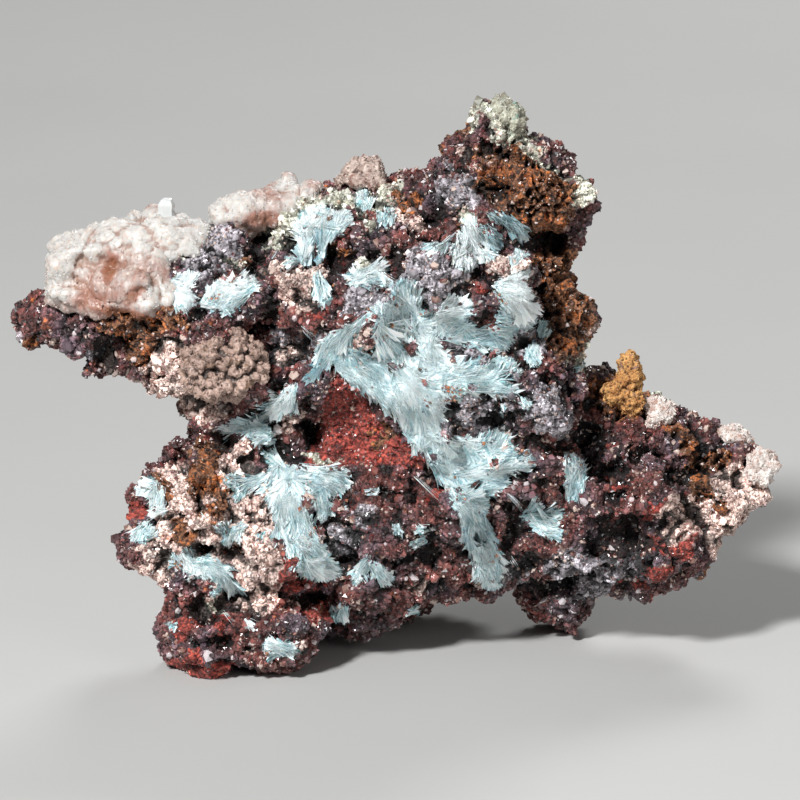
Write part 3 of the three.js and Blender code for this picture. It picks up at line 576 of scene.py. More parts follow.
# Where the fibres are whiter (above 0) or a darker green (below 0) than most: partly their own
# tone, partly painted light on fibres that lie in shade and painted shade. The columns of
# patches(), then how much.
TONES_AND_PAINTED_LIGHT = [
    (5.6, 36.6, 1.9, 0.9, 35, 1.0), (7.2, 43.4, 1.6, 2.6, 10, 0.8), (7.4, 41.0, 1.6, 1.2, 30, 0.5),
    (-17.6, 38.4, 2.4, 0.9, 25, 0.9), (-22.0, 38.2, 1.4, 2.0, 0, 0.8), (-2.0, 40.0, 1.3, 1.0, 10, 1.0),
    (-5.0, 39.8, 0.8, 1.0, 0, 0.6), (1.0, 28.0, 1.6, 0.8, -30, 0.8), (4.0, 27.3, 0.7, 0.6, 0, 0.7),
    (5.4, 21.8, 0.5, 1.2, 0, 0.8), (8.2, 19.1, 2.8, 0.35, 8, 0.9), (12.2, 38.2, 1.4, 2.8, 10, 0.7),
    (-12.0, 16.4, 0.35, 3.0, 3, 0.9), (-22.0, 9.6, 0.4, 1.8, 25, 0.9), (-20.6, 8.4, 1.4, 0.3, 0, 0.8),
    (-25.4, 15.2, 1.4, 0.6, 0, 0.9), (-10.2, 45.2, 1.4, 1.2, 0, 0.8), (-7.8, 46.4, 2.6, 0.8, 0, 0.7),
    (-12.0, 27.0, 1.4, 0.6, 50, 0.8), (-18.0, 24.0, 1.6, 0.5, 0, 0.8), (-13.6, 1.4, 0.9, 0.5, -20, 0.8),
    (-7.6, 9.0, 1.8, 0.4, -25, 0.8), (-4.8, 8.0, 0.4, 1.2, -35, 0.8), (-15.4, 3.4, 0.9, 0.5, -35, 1.0),
    (10.9, 35.4, 0.9, 1.3, 0, -0.6), (-8.9, 29.6, 0.7, 2.0, -38, -0.8), (-5.0, 31.0, 1.4, 0.3, -20, -0.9),
    (2.5, 26.2, 0.3, 1.5, 10, -0.7), (-8.7, 42.2, 0.6, 1.6, 0, -1.0), (-7.6, 44.2, 0.8, 1.4, -40, -0.6),
    (-10.6, 41.8, 0.4, 0.9, 0, -0.7), (9.6, 43.2, 1.0, 2.0, 35, -0.5), (11.4, 44.9, 2.8, 0.7, -35, -0.3),
    (1.6, 34.6, 0.3, 1.2, 0, -0.8), (7.2, 30.0, 1.2, 0.3, 40, -0.9), (5.4, 18.7, 0.3, 0.8, -30, -0.8),
    (8.8, 14.0, 0.5, 1.6, 15, -0.5), (-8.8, 17.9, 1.4, 0.35, -20, -0.6), (-11.6, 9.6, 0.5, 1.0, 20, -0.7),
    (9.2, 33.0, 1.4, 0.6, 0, -0.5), (18.4, 16.9, 0.7, 0.8, 0, -0.5), (-18.3, 12.4, 0.4, 1.2, 0, -0.4),
    (12.2, 36.6, 1.8, 3.6, 0, 0.7), (-8.4, 45.0, 3.4, 1.6, 10, 0.5), (6.8, 42.4, 2.2, 3.2, 0, 0.4),
    (3.4, 31.4, 2.6, 2.8, 20, 0.4), (8.8, 9.0, 1.2, 3.4, 15, 0.2), (0.6, 29.6, 1.2, 0.5, -30, 0.6),
    (1.0, 35.0, 2.6, 3.0, 0, 0.4), (4.6, 23.8, 2.8, 3.2, 0, 0.5), (-8.4, 42.8, 2.6, 2.0, 0, 0.35),
    (-25.6, 16.8, 1.8, 1.8, 0, 0.5), (-0.3, 37.6, 0.3, 0.9, 0, -0.7), (10.2, 18.2, 1.0, 0.5, 10, -0.5),
    (6.8, 13.2, 0.5, 0.9, 0, -0.6),
]
# Single bundles of fibres: from across and up, to across and up.
SINGLES = [
    (5.6, 18.6, 10.8, 19.4), (6.2, 19.0, 10.2, 19.6), (4.6, 29.0, 9.8, 30.3), (1.5, 18.8, 4.3, 16.1),
    (-18.2, 4.9, -16.9, 3.4), (-20.5, 15.3, -19.5, 14.2), (-10.0, 34.2, -8.7, 32.9),
    (-22.0, 42.6, -20.8, 40.6), (11.0, 17.2, 13.0, 15.0), (11.6, 10.2, 12.2, 9.2),
    (-13.4, 41.2, -12.6, 42.4),
]


# %% How much of a place is covered
FRAY = 0.22
BARE_EDGE = 0.1
AREAS = {"front": [], "back": []}


def side_of(growth):
    return "back" if growth.startswith("back") else "front"


for growth, (outlines, flow) in GROWTHS.items():
    AREAS[side_of(growth)] += outlines
AREAS["front"] += [oval(*row) for row in LOOSE]


def is_bare(places, side):
    """Whether each place is on a knob of rock that stays bare."""
    return patches(places, BARE[side], BARE_EDGE) > 0.5


def covered_by(places, side):
    """How far each place is inside the nearest outline of a side, with their edges frayed."""
    spots = np.column_stack([places[:, :2], np.zeros(len(places))])
    frayed = places[:, :2] + FRAY * np.stack([noise(spots, 0.8, salt) for salt in (91, 92)], axis=1)
    inside = np.max([inside_by(frayed, outline) for outline in AREAS[side]], axis=0)
    return np.where(is_bare(places, side), -0.3, inside)


def felt_at(points, normals):
    """How thickly the fibres lie over each point, from 0 to 1, seen from the side it faces."""
    felt = np.zeros(len(points))
    for side, view in (("front", FRONT), ("back", BACK)):
        facing = smooth(-0.1, 0.3, -normals @ view[2])
        cover = smooth(-0.1, 0.4, covered_by(seen(points, view), side))
        felt = np.maximum(felt, cover * facing)
    return felt


print("growths:", len(GROWTHS), "with", sum(len(a) for a, _ in GROWTHS.values()), "outlines")

# %% [markdown]
# ## The rock
#
# Gossan, the rusty cap of an ore vein, is never smooth: it is lumps on lumps, with holes where
# other minerals have dissolved. One noise would look like dough, so several are added: wide
# lumps, small lumps, holes and a fine crumble, and the kind of stain says how much of each. The
# red earth is nearly flat, the ochre boxwork is full of holes, and the druses are knobbly.

# %% The rock's fine surface
VOXEL = 0.29
# Places that stand higher than the solid: the columns of patches(), then the rise in millimetres.
HILLS = [(8.4, 53.4, 1.7, 3.4, 0, 1.9), (13.6, 51.6, 1.6, 1.2, -30, 0.9), (-34.4, 35.2, 2.6, 1.6, 0, 0.6)]


def hills_at(points, hills):
    """How much higher each point stands because of the hills, in millimetres."""
    places = seen(points, FRONT)
    return sum(row[5] * patches(places, [row[:5]], 0.7) for row in hills)


rock, rock_faces = evenly(*joined("matrix"), VOXEL)
rock[:, 2] += hills_at(rock, HILLS)
outward = normals_of(eased(rock, rock_faces, 12), rock_faces)
stain = stains_at(rock, outward)
felt = felt_at(rock, outward)
print("the plain rock:", len(rock), "corners, under fibres", round(float(felt.mean()), 2), "of them")

# %% Caves and the flat break
# Caves that open to the front: the columns of patches(), then the depth in millimetres.
CAVES = [
    (-13.2, 36.4, 1.4, 2.0, -20, 2.0), (-13.6, 31.4, 0.6, 1.2, 10, 1.2), (-16.2, 34.2, 0.9, 0.8, 0, 1.2),
    (-6.9, 41.3, 0.9, 1.4, 10, 2.2), (-2.8, 41.6, 0.8, 0.7, 0, 1.6), (3.1, 44.9, 0.9, 0.5, 0, 1.6),
    (-14.3, 43.3, 0.8, 0.7, 0, 1.6), (11.2, 28.8, 0.9, 0.7, -20, 1.4), (-9.3, 24.4, 1.1, 2.8, 12, 2.4),
    (10.2, 25.2, 0.8, 1.4, 0, 1.6), (15.0, 43.2, 2.2, 1.6, 0, 2.4), (18.0, 22.6, 3.0, 1.4, 20, 2.4),
    (-10.0, 5.8, 2.2, 0.7, 10, 2.6), (-18.8, 1.6, 1.6, 0.9, 10, 1.6), (22.4, 18.0, 1.8, 2.2, 0, 1.8),
    (16.4, 27.6, 1.4, 2.4, 40, 1.8), (14.4, 39.0, 0.9, 2.0, 0, 1.6), (15.0, 36.4, 1.0, 1.0, 0, 1.4),
    (-30.6, 31.0, 1.2, 1.8, 20, 2.0), (-20.6, 16.6, 0.4, 1.4, 0, 1.2), (26.4, 20.4, 1.6, 1.0, -30, 1.6),
    (9.8, 39.0, 1.6, 0.8, -40, 1.2), (-22.9, 20.6, 0.7, 1.6, 10, 1.4), (-25.2, 29.6, 1.0, 0.8, 0, 1.2),
]
# The flat break in the red earth.
BREAK = [(-6.6, 29.4), (-2.6, 25.8), (3.0, 19.9), (-10.2, 19.8), (-8.6, 24.0), (-7.8, 27.6)]


def caves_at(points, normals):
    """How much further away the rock lies in each cave, in millimetres."""
    places = seen(points, FRONT)
    sunk = np.zeros(len(points))
    for row in CAVES:
        sunk = np.maximum(sunk, row[5] * patches(places, [row[:5]], 0.35))
    return sunk * smooth(-0.1, 0.3, -normals @ FRONT[2])


# %% Lumps, holes and thin walls
# Round lumps: how wide and how high they are in millimetres, the level that stays where it is,
# and the salt of their chance.
LUMPS = [(4.4, 1.3, 0.4, 11), (2.3, 0.85, 0.35, 21), (1.2, 0.6, 0.2, 31), (0.66, 0.3, 0.2, 35)]
# Holes: how far apart and how deep they are in millimetres, in which share of the cells, and the
# salt of their chance.
HOLES = [(4.6, 1.9, 0.3, 41), (2.4, 1.3, 0.34, 51), (1.3, 0.6, 0.3, 55)]
BOX_WIDTH = 0.98


def rock_relief(points, stain, felt, flat):
    """How far out the rock stands from the plain solid, in millimetres: lumps of four widths,
    holes, and in the ochre thin walls between deep cells."""
    bent = points + 0.7 * np.stack([clouds(points, 3, salt) for salt in (1, 5, 9)], axis=1)
    wide, middle, small, fine = (high * (lumps(bent, width, salt) - level)
                                 for width, high, level, salt in LUMPS)
    holes = sum(deep * pits(bent, width, share, salt) for width, deep, share, salt in HOLES)
    first, second, _ = pebbles(bent, BOX_WIDTH, 61)
    cells = 0.7 - 1.6 * smooth(0.06, 0.42, second - first)
    plain = wide + middle + (1 + 0.3 * stain["tan_druse"]) * small + fine - holes
    plain += stain["ochre"] * (cells - 0.5 * wide - 0.6 * small)
    mat = 0.45 * wide + 0.4 * middle + 0.25
    broken = 0.45 * small + 1.2 * fine + 0.2 * noise(points, 2.2, 71) - 0.5
    broken -= 0.3 * pits(points, 0.9, 0.5, 75)
    covered = plain + (mat - plain) * felt
    knob = patches(seen(points, FRONT), BARE["front"], 0.45)
    covered += (1.1 + small + fine - covered) * knob
    return covered + (broken - covered) * 0.9 * flat


# %% Moving the rock's surface
flat = smooth(-0.2, 0.4, inside_by(seen(rock, FRONT)[:, :2], BREAK))
flat *= smooth(0.0, 0.4, -outward @ FRONT[2])
stain["red_earth"] = np.maximum(stain["red_earth"] * (1 - felt), flat)
grounded = smooth(0.0, 1.2, rock[:, 2])
height = rock_relief(rock, stain, felt, flat) * grounded
plain_rock = eased(rock, rock_faces, 50)
rock = rock + (plain_rock - rock) * (0.8 * flat)[:, None] + outward * height[:, None]
rock = rock + (caves_at(rock, outward) * grounded * (1 - felt))[:, None] * FRONT[2]
rock[:, 2] = np.maximum(rock[:, 2], 0)
rock_normals = normals_of(rock, rock_faces)
print("rock:", len(rock), "corners, relief", round(height.min(), 2), "to", round(height.max(), 2))

# %% [markdown]
# Hollows are painted darker here: painted shade, laid where a lamp's shade would fall. A renderer
# can look for hollows with ambient occlusion, but that doesn't survive an export, so the hollows
# are measured once on the mesh: a corner that lies inside the eased surface is in one.

# %% Hollows
def hollowness(corners, faces, rounds, depth):
    """1 deep in a hollow and 0 on a bump: how far the eased surface is outside the corner."""
    ease = eased(corners, faces, rounds)
    rise = ((corners - ease) * normals_of(ease, faces)).sum(axis=1)
    return smooth(depth, -depth, rise)


hollow = 0.5 * hollowness(rock, rock_faces, 20, 0.3) + 0.5 * hollowness(rock, rock_faces, 90, 0.7)
hollow *= 1 - 0.55 * flat
# Rock that is darker than most, partly dark rock and partly painted shade, in the columns of
# patches(). It is added to the painted shade of the hollows.
DARK_ROCK_AND_SHADE = [
    (-38.0, 35.2, 3.0, 2.8, 0), (-32.6, 32.6, 2.6, 2.2, 0), (-26.0, 33.4, 4.0, 1.6, -20),
    (-3.6, 14.0, 4.6, 3.0, 0), (5.0, 24.4, 2.4, 3.0, 0), (16.0, 26.4, 4.0, 3.4, 0),
    (13.6, 9.6, 4.0, 3.0, 0), (21.6, 19.0, 3.2, 4.0, 0), (28.0, 21.4, 4.2, 3.2, -30),
    (26.6, 11.0, 4.6, 3.0, 10), (34.4, 12.0, 2.2, 3.2, 20),
]
hollow = np.clip(hollow + 0.28 * patches(seen(rock, FRONT), DARK_ROCK_AND_SHADE, 0.5), 0, 1)
print("hollow:", round(float(hollow.mean()), 2), "on average")

# %% [markdown]
# ## A map of the surface
#
# The needles lie on the rock. Casting a ray for each of thousands of needles is slow in Python,
# so the rock is drawn once as a height map in each view: a grid that holds how far away the
# nearest corner is. A place is then looked up in it with array indexing.

# %% Height maps of the rock
CELL = 0.36
MAP_LOW = np.array([-45.0, -6.0])
MAP_SIZE = (250, 200)
FAR = 1e3


def height_map(points, view):
    """How far away the surface is, for each cell of the view: the nearest corner in it, and in
    an empty cell the nearest of the cells beside it, three times over."""
    places = seen(points, view)
    cell = np.floor((places[:, :2] - MAP_LOW) / CELL).astype(int)
    away = np.full(MAP_SIZE, FAR)
    np.minimum.at(away, (cell[:, 0], cell[:, 1]), places[:, 2])
    for _ in range(3):
        beside = [np.roll(away, step, axis) for step in (-1, 1) for axis in (0, 1)]
        away = np.where(away == FAR, np.min(beside, axis=0), away)
    return away


def surface_at(away, across, up):
    """The height map's value at each place."""
    x = np.clip(((across - MAP_LOW[0]) / CELL).astype(int), 0, MAP_SIZE[0] - 1)
    y = np.clip(((up - MAP_LOW[1]) / CELL).astype(int), 0, MAP_SIZE[1] - 1)
    return away[x, y]


def calmed(away):
    """The map with each cell the mean of the nine filled cells round it, twice over."""
    for _ in range(2):
        total, filled = np.zeros(MAP_SIZE), np.zeros(MAP_SIZE)
        for step in np.ndindex(3, 3):
            beside = np.roll(away, (step[0] - 1, step[1] - 1), (0, 1))
            total += np.where(beside < FAR, beside, 0)
            filled += beside < FAR
        away = np.where(away < FAR, total / np.maximum(filled, 1), away)
    return away


VIEWS = {}
for side, view in (("front", FRONT), ("back", BACK)):
    drawn = height_map(rock, view)
    VIEWS[side] = (view, drawn, calmed(drawn))
    print("mapped cells from the", side, int((drawn < FAR).sum()))

# %% [markdown]
# ## Aurichalcite sprays and needles
#
# Aurichalcite grows as flat needles that fan out from one root. Where the needles of a fan have
# grown together they make a ribbed spray with a ragged end, and loose needles lie between the
# sprays. A spray here is one closed fan of seventy triangles, and a needle is a thin pyramid of
# four. Hair particles would be easier, but an export drops them.

# %% Sheaves
SHEAVES_PER_AREA = {"front": 5.0, "back": 2.2}
WIDEST = 60
THICKEST = 0.3
LENGTHS = (3.3, 2.5, 1.8, 1.3, 0.9)
# Over how many millimetres of the noise the sheaves' streaks are spread, so that few match.
LANE_RANGE = 500


def heading_at(places, flow):
    """The way the fibres lie at each place, in radians: the mean of the headings in flow's
    rows, added up as directions, each weighed by one over the cube of its distance."""
    rows = np.array(flow, dtype=float)
    apart = np.linalg.norm(places[:, None, :] - rows[:, :2], axis=2) + 0.3
    turn = np.radians(rows[:, 2])
    return np.arctan2(apart**-3 @ np.sin(turn), apart**-3 @ np.cos(turn))


def sheaves(outline, flow, side, rng):
    """The sheaves in an outline, one row each: middle across and up, heading, length, spread,
    thickness of the mat there, and its lot.

    Middles are thrown over the outline's box and those inside are kept. A sheaf takes the
    first of LENGTHS that keeps both its ends in the outline."""
    shape = np.array(outline)
    low, high = shape.min(axis=0), shape.max(axis=0)
    thrown = low + rng.random((int(np.prod(high - low) * SHEAVES_PER_AREA[side]), 2)) * (high - low)
    depth = inside_by(thrown, outline)
    middle, depth = thrown[depth > 0.05], depth[depth > 0.05]
    count = len(middle)
    inner = smooth(0, 1.1, depth)
    stray = np.where(rng.random(count) < 0.25, 50, 14) * (0.35 + 0.65 * inner)
    heading = heading_at(middle, flow) + np.radians(stray) * rng.normal(size=count)
    step = np.stack([np.cos(heading), np.sin(heading)], axis=1)
    length = np.full(count, LENGTHS[-1])
    for trial in LENGTHS[-2::-1]:
        fits = np.ones(count, dtype=bool)
        for end in (-0.5, 0.5):
            fits &= inside_by(middle + end * trial * step, outline) > -0.25
        length = np.where(fits, trial, length)
    length *= rng.uniform(0.7, 1.05, count)
    spread = np.radians(WIDEST * rng.uniform(0.35, 1, count)) * np.minimum(1, 1.7 / length)
    spread *= 0.45 + 0.55 * inner
    thick = THICKEST * inner * rng.random(count)
    return np.column_stack([middle, heading, length, spread, thick, rng.random(count)])


# %% Needles
NEEDLES = 7
SINK = 0.1
STEEPEST = 0.6
# How far each of a needle's four corners lies from the middle of its lane.
LANE_OF_CORNER = [0.05, -0.05, 0, 0]
NEEDLE_FACES = np.array([[0, 1, 2], [0, 3, 1], [1, 3, 2], [2, 3, 0]])


def needles(sheaf, side, rng):
    """The corners in a view of each sheaf's needles, the faces of one, and its values.

    A needle is a three-sided pyramid. It lies along the rock, and its tip is moved towards the
    viewer until the line from its root clears the rock on the way, but is no steeper than
    STEEPEST."""
    row = np.repeat(sheaf, NEEDLES, axis=0)
    count = len(row)
    away = VIEWS[side][1]
    shift = rng.normal(size=count)
    heading = row[:, 2] + row[:, 4] * (rng.random(count) - 0.5) + 0.04 * shift
    step = np.stack([np.cos(heading), np.sin(heading)], axis=1)
    beside = np.stack([-step[:, 1], step[:, 0]], axis=1)
    length = row[:, 3] * rng.uniform(0.5, 1.05, count)
    start = beside * (0.16 * shift)[:, None] + step * (0.2 * rng.normal(size=count))[:, None]
    root = row[:, :2] + start - step * (0.5 * length)[:, None]
    tip = root + step * length[:, None]
    near = surface_at(away, *root.T) + SINK - row[:, 5]
    far = surface_at(away, *tip.T)
    end = np.where(far == FAR, near, np.minimum(far - row[:, 5], near + 0.8 * length))
    end -= 0.15 * rng.random(count)
    for share in (0.35, 0.65, 1.0):
        on = root + (tip - root) * share
        end = np.minimum(end, near + (surface_at(away, *on.T) - row[:, 5] - 0.05 - near) / share)
    end = np.maximum(end, near - STEEPEST * length)
    half = beside * rng.uniform(0.015, 0.045, count)[:, None]
    kept = near < FAR / 2
    for share in (0, 0.35, 0.65, 1):
        kept &= ~is_bare(root + (tip - root) * share, side)
    corners = np.stack([
        np.column_stack([root + half, near]), np.column_stack([root - half, near]),
        np.column_stack([root, near - 0.05]), np.column_stack([tip, end]),
    ], axis=1)[kept]
    lot = np.clip(row[:, 6] + 0.25 * rng.normal(size=count), 0, 1)[kept]
    values = {"along": [0, 0, 0, 1], "lot": lot[:, None], "lane": LANE_RANGE * lot[:, None] + LANE_OF_CORNER}
    return corners, NEEDLE_FACES, values


# %% Sprays
RIBS = 9
NECK = 0.2
GROOVE = 0.04
# How far a spray lies over the calm surface at least and over the rock at least, and how deep in
# the rock it lies on a bare knob.
LOW_LIFT = 0.05
CLEAR = 0.04
BURIED = 0.4
ROWS = np.array([0, 0.35, 0.7, 1.0])
MOST_BENT = 0.35


def spray_faces():
    """The triangles of a spray: bands of ribs from its neck to its ragged end, and below them
    a ring that closes it at one low corner."""
    last = (len(ROWS) - 1) * RIBS
    bands = []
    for start in range(0, last, RIBS):
        near = start + np.arange(RIBS - 1)
        bands.append(np.stack([near, near + RIBS, near + RIBS + 1], axis=1))
        bands.append(np.stack([near, near + RIBS + 1, near + 1], axis=1))
    first_side, last_side = range(0, last, RIBS), range(last - 1, 0, -RIBS)
    rim = np.array([*first_side, *range(last, last + RIBS), *last_side, *range(RIBS - 2, 0, -1)])
    bands.append(np.stack([np.roll(rim, -1), rim, np.full(len(rim), last + RIBS)], axis=1))
    return np.concatenate(bands)


SPRAY_FACES = spray_faces()


def sprays(sheaf, side, rng):
    """The corners in a view of one spray for each sheaf, its faces, and its values.

    Its ribs leave the neck at even angles and bend a little, and every other one is shorter
    and lies in a groove. A corner lies over the calm surface by the mat's thickness, or just
    above the rock where that is nearer to the viewer. On a bare knob it lies in the rock."""
    _, away, calm = VIEWS[side]
    sheaf = sheaf[~is_bare(sheaf, side)]
    count = len(sheaf)
    share = np.linspace(-0.5, 0.5, RIBS)
    groove = np.arange(RIBS) % 2
    turn = sheaf[:, 2:3] + sheaf[:, 4:5] * share + 0.04 * rng.normal(size=(count, RIBS))
    bend = MOST_BENT * rng.uniform(-1, 1, (count, 1, 1)) * ROWS[:, None]
    reach = sheaf[:, 3:4] * rng.uniform(0.82, 1.06, (count, RIBS)) * (1 - 0.12 * groove)
    ahead = np.stack([np.cos(sheaf[:, 2]), np.sin(sheaf[:, 2])], axis=1)
    left = np.stack([-ahead[:, 1], ahead[:, 0]], axis=1)
    foot = sheaf[:, :2] - 0.5 * sheaf[:, 3:4] * ahead
    foot = foot[:, None] + NECK * share[:, None] * left[:, None]
    angle = turn[:, None] + bend
    out = reach[:, None] * ROWS[:, None]
    plan = foot[:, None] + np.stack([out * np.cos(angle), out * np.sin(angle)], axis=3)
    ground = surface_at(away, plan[..., 0], plan[..., 1])
    level = surface_at(calm, plan[..., 0], plan[..., 1])
    neck = np.median(level[:, 0], axis=1)[:, None, None]
    level = np.where(level > FAR / 2, neck, np.clip(level, neck - out, neck + out))
    lift = LOW_LIFT + sheaf[:, 5][:, None, None] * (0.4 + 0.6 * ROWS[:, None])
    deep = np.minimum(level - lift, ground - CLEAR)
    deep[:, 1:] += GROOVE * groove
    bare = is_bare(plan.reshape(-1, 2), side).reshape(deep.shape)
    deep = np.where(bare & (ground < FAR / 2), ground + BURIED, deep)
    upper = np.concatenate([plan, deep[..., None]], axis=3).reshape(count, -1, 3)
    low = upper[:, RIBS:-RIBS].mean(axis=1)
    low[:, 2] = upper[:, :, 2].max(axis=1) + 0.1
    kept = neck.ravel() < FAR / 2
    corners = np.concatenate([upper, low[:, None]], axis=1)[kept]
    lot = np.clip(sheaf[:, 6:7] + 0.2 * rng.normal(size=(count, RIBS)), 0, 1)
    lane = LANE_RANGE * sheaf[:, 6:7] + (sheaf[:, 3] * sheaf[:, 4] * 0.7 + NECK)[:, None] * share
    values = {key: np.column_stack([np.tile(value, len(ROWS)), value[:, RIBS // 2]])[kept]
              for key, value in (("lot", lot), ("lane", lane))}
    values["along"] = np.append(np.repeat(ROWS, RIBS), 0.3)
    return corners, SPRAY_FACES, values


def toned(places, rows):
    """How much whiter or darker than most each place is, from -1 to 1: the sixth column of the
    rows whose patch it is in."""
    tone = np.zeros(len(places))
    for row in rows:
        tone += row[5] * patches(places, [row[:5]], 0.5)
    return np.clip(tone, -1, 1)


# %% [markdown]
# ## Stains, grain and glints as node groups
#
# The rock, its grains and its crumbs share their colours, so the colours are one node group. It
# reads the stains from attributes, breaks their edges up with noise, and paints shade into hollows.

# %% Node helpers
def shade(red, green, blue):
    """A colour given in the usual 0 to 255, as the linear light that a shader works in: below
    0.04045 it is divided by 12.92, above that ((c + 0.055) / 1.055) to the power 2.4."""
    parts = [c / 255 for c in (red, green, blue)]
    return tuple(c / 12.92 if c < 0.04045 else ((c + 0.055) / 1.055) ** 2.4 for c in parts) + (1,)


def new_group(name, inputs, outputs):
    """An empty shader group with these sockets, as (name, kind, start value)."""
    group = bpy.data.node_groups.new(name, "ShaderNodeTree")
    for side, sockets in (("INPUT", inputs), ("OUTPUT", outputs)):
        for label, kind, start in sockets:
            made = group.interface.new_socket(label, in_out=side, socket_type="NodeSocket" + kind)
            if start is not None and side == "INPUT":
                made.default_value = start
    return group, group.nodes.new("NodeGroupInput"), group.nodes.new("NodeGroupOutput")


def wire(tree, value, socket):
    """Puts a value, or another node's output, into a socket."""
    if isinstance(value, bpy.types.NodeSocket):
        tree.links.new(value, socket)
    elif value is not None:
        socket.default_value = value


def place_node(tree):
    return tree.nodes.new("ShaderNodeTexCoord").outputs["Object"]


def noise_node(tree, size, detail=2.0, vector=None):
    """Soft noise whose swells are about size millimetres wide."""
    node = tree.nodes.new("ShaderNodeTexNoise")
    node.inputs["Scale"].default_value = 1 / (size * MM)
    node.inputs["Detail"].default_value = detail
    wire(tree, vector or place_node(tree), node.inputs["Vector"])
    return node.outputs["Fac"]


def cell_node(tree, size, output="Distance", vector=None):
    """Cells about size millimetres wide."""
    node = tree.nodes.new("ShaderNodeTexVoronoi")
    node.inputs["Scale"].default_value = 1 / (size * MM)
    wire(tree, vector or place_node(tree), node.inputs["Vector"])
    return node.outputs[output]


def spread_node(tree, value, low, high, to_low=0.0, to_high=1.0):
    """A value stretched from low..high to another range, and held inside it."""
    node = tree.nodes.new("ShaderNodeMapRange")
    wire(tree, value, node.inputs["Value"])
    for key, number in (("From Min", low), ("From Max", high), ("To Min", to_low), ("To Max", to_high)):
        wire(tree, number, node.inputs[key])
    return node.outputs["Result"]


def math_node(tree, operation, first, second, third=None):
    node = tree.nodes.new("ShaderNodeMath")
    node.operation = operation
    for value, socket in zip((first, second, third), node.inputs):
        wire(tree, value, socket)
    return node.outputs[0]


def times(tree, first, second):
    return math_node(tree, "MULTIPLY", first, second)


def weighed(tree, value, weight, added):
    """A value times its weight, plus what is added."""
    return math_node(tree, "MULTIPLY_ADD", value, weight, added)


def blend_node(tree, share, first, second, kind="MIX"):
    """Two colours mixed by a share."""
    node = tree.nodes.new("ShaderNodeMix")
    node.data_type = "RGBA"
    node.blend_type = kind
    wire(tree, share, node.inputs[0])
    wire(tree, first, node.inputs[6])
    wire(tree, second, node.inputs[7])
    return node.outputs[2]


def tinted(tree, colour, value, start, full, most, tint):
    """The colour with a tint over it: none of it where the value is at start, and the share
    most where the value is at full or past it."""
    return blend_node(tree, spread_node(tree, value, start, full, 0, most), colour, shade(*tint))


def attribute_node(tree, name):
    node = tree.nodes.new("ShaderNodeAttribute")
    node.attribute_name = name
    return node.outputs["Fac"]


# %% The rock's colours
STAIN_COLOURS = {
    "grey_glitter": ((50, 44, 49), (188, 182, 188)),
    "red_earth": ((112, 42, 36), (174, 80, 68)),
    "tan_druse": ((160, 119, 109), (255, 234, 223)),
    "ochre": ((54, 30, 20), (164, 112, 78)),
    "pale_crust": ((122, 118, 100), (228, 229, 214)),
}


def rock_colours():
    """A group that mixes the rock's dark ground with each stain, broken up by noise, and darkens
    it in the hollows: painted shade.
    """
    group, given, made = new_group(
        "rock colours",
        [("Lot", "Float", 0.5), ("Lightness", "Float", 1.0)],
        [("Color", "Color", None)],
    )
    mottle = noise_node(group, 1.4, 4)
    pick = weighed(group, given.outputs["Lot"], 0.6, mottle)
    pick = spread_node(group, pick, 0.45, 1.15)
    brown = spread_node(group, noise_node(group, 4.6, 3), 0.36, 0.56)
    dark = blend_node(group, brown, shade(26, 16, 20), shade(50, 21, 19))
    light = blend_node(group, brown, shade(110, 93, 102), shade(128, 76, 70))
    colour = blend_node(group, pick, dark, light)
    # The pits between small cells are painted dark in the ochre and the red earth: painted shade.
    pores = spread_node(group, cell_node(group, 0.62), 0.42, 0.3, 0, 0.85)
    for name, (dark, light) in STAIN_COLOURS.items():
        edge = weighed(group, noise_node(group, 0.9, 3), 0.7, attribute_node(group, name))
        share = spread_node(group, edge, 0.74, 0.9)
        own = blend_node(group, pick, shade(*dark), shade(*light))
        if name == "ochre":
            own = blend_node(group, pores, own, shade(26, 15, 12))
        elif name == "red_earth":
            own = blend_node(group, times(group, pores, 0.85), own, shade(44, 16, 14))
        colour = blend_node(group, share, colour, own)
    rusty = weighed(group, attribute_node(group, "ochre"), 0.16, noise_node(group, 1.7, 4))
    rust = spread_node(group, rusty, 0.66, 0.74, 0, 0.75)
    rust = times(group, rust, weighed(group, pores, -1.0, 1.0))
    specks = spread_node(group, noise_node(group, 0.5, 3), 0.38, 0.6, 0.2, 1.2)
    rust = times(group, rust, specks)
    colour = blend_node(group, rust, colour, shade(176, 100, 48))
    # Under the fibres the rock takes a dark teal: the mat's colour, darkened as painted shade in the gaps
    # between sprays.
    felt = spread_node(group, attribute_node(group, "felt"), 0.4, 0.8)
    colour = blend_node(group, felt, colour, shade(130, 168, 172))
    # Hollows are painted down to a tenth of their colour, less under the fibres: painted shade. The darker
    # patches take the same darkening.
    bare = weighed(group, felt, -0.8, attribute_node(group, "hollow"))
    dim = spread_node(group, bare, 0.38, 0.76, 1.05, 0.09)
    uneven = spread_node(group, noise_node(group, 3.4, 3), 0.36, 0.62, 0.72, 1.3)
    dim = times(group, times(group, dim, uneven), given.outputs["Lightness"])
    tint = group.nodes.new("ShaderNodeCombineColor")
    for socket in tint.inputs:
        wire(group, dim, socket)
    wire(group, blend_node(group, 1.0, colour, tint.outputs[0], "MULTIPLY"), made.inputs["Color"])
    return group


ROCK_COLOURS = rock_colours()
print("rock colours:", len(ROCK_COLOURS.nodes), "nodes")


# %% Materials of the rock
def new_material(name, **constants):
    """A material with its shader, whose constant values are set on the shader's own sockets."""
    material = bpy.data.materials.new(name)
    material.use_nodes = True
    shader = material.node_tree.nodes["Principled BSDF"]
    for key, value in constants.items():
        shader.inputs[key.replace("_", " ")].default_value = value
    return material, material.node_tree, shader


def place_group(tree, group, **values):
    node = tree.nodes.new("ShaderNodeGroup")
    node.node_tree = group
    for key, value in values.items():
        wire(tree, value, node.inputs[key])
    return node


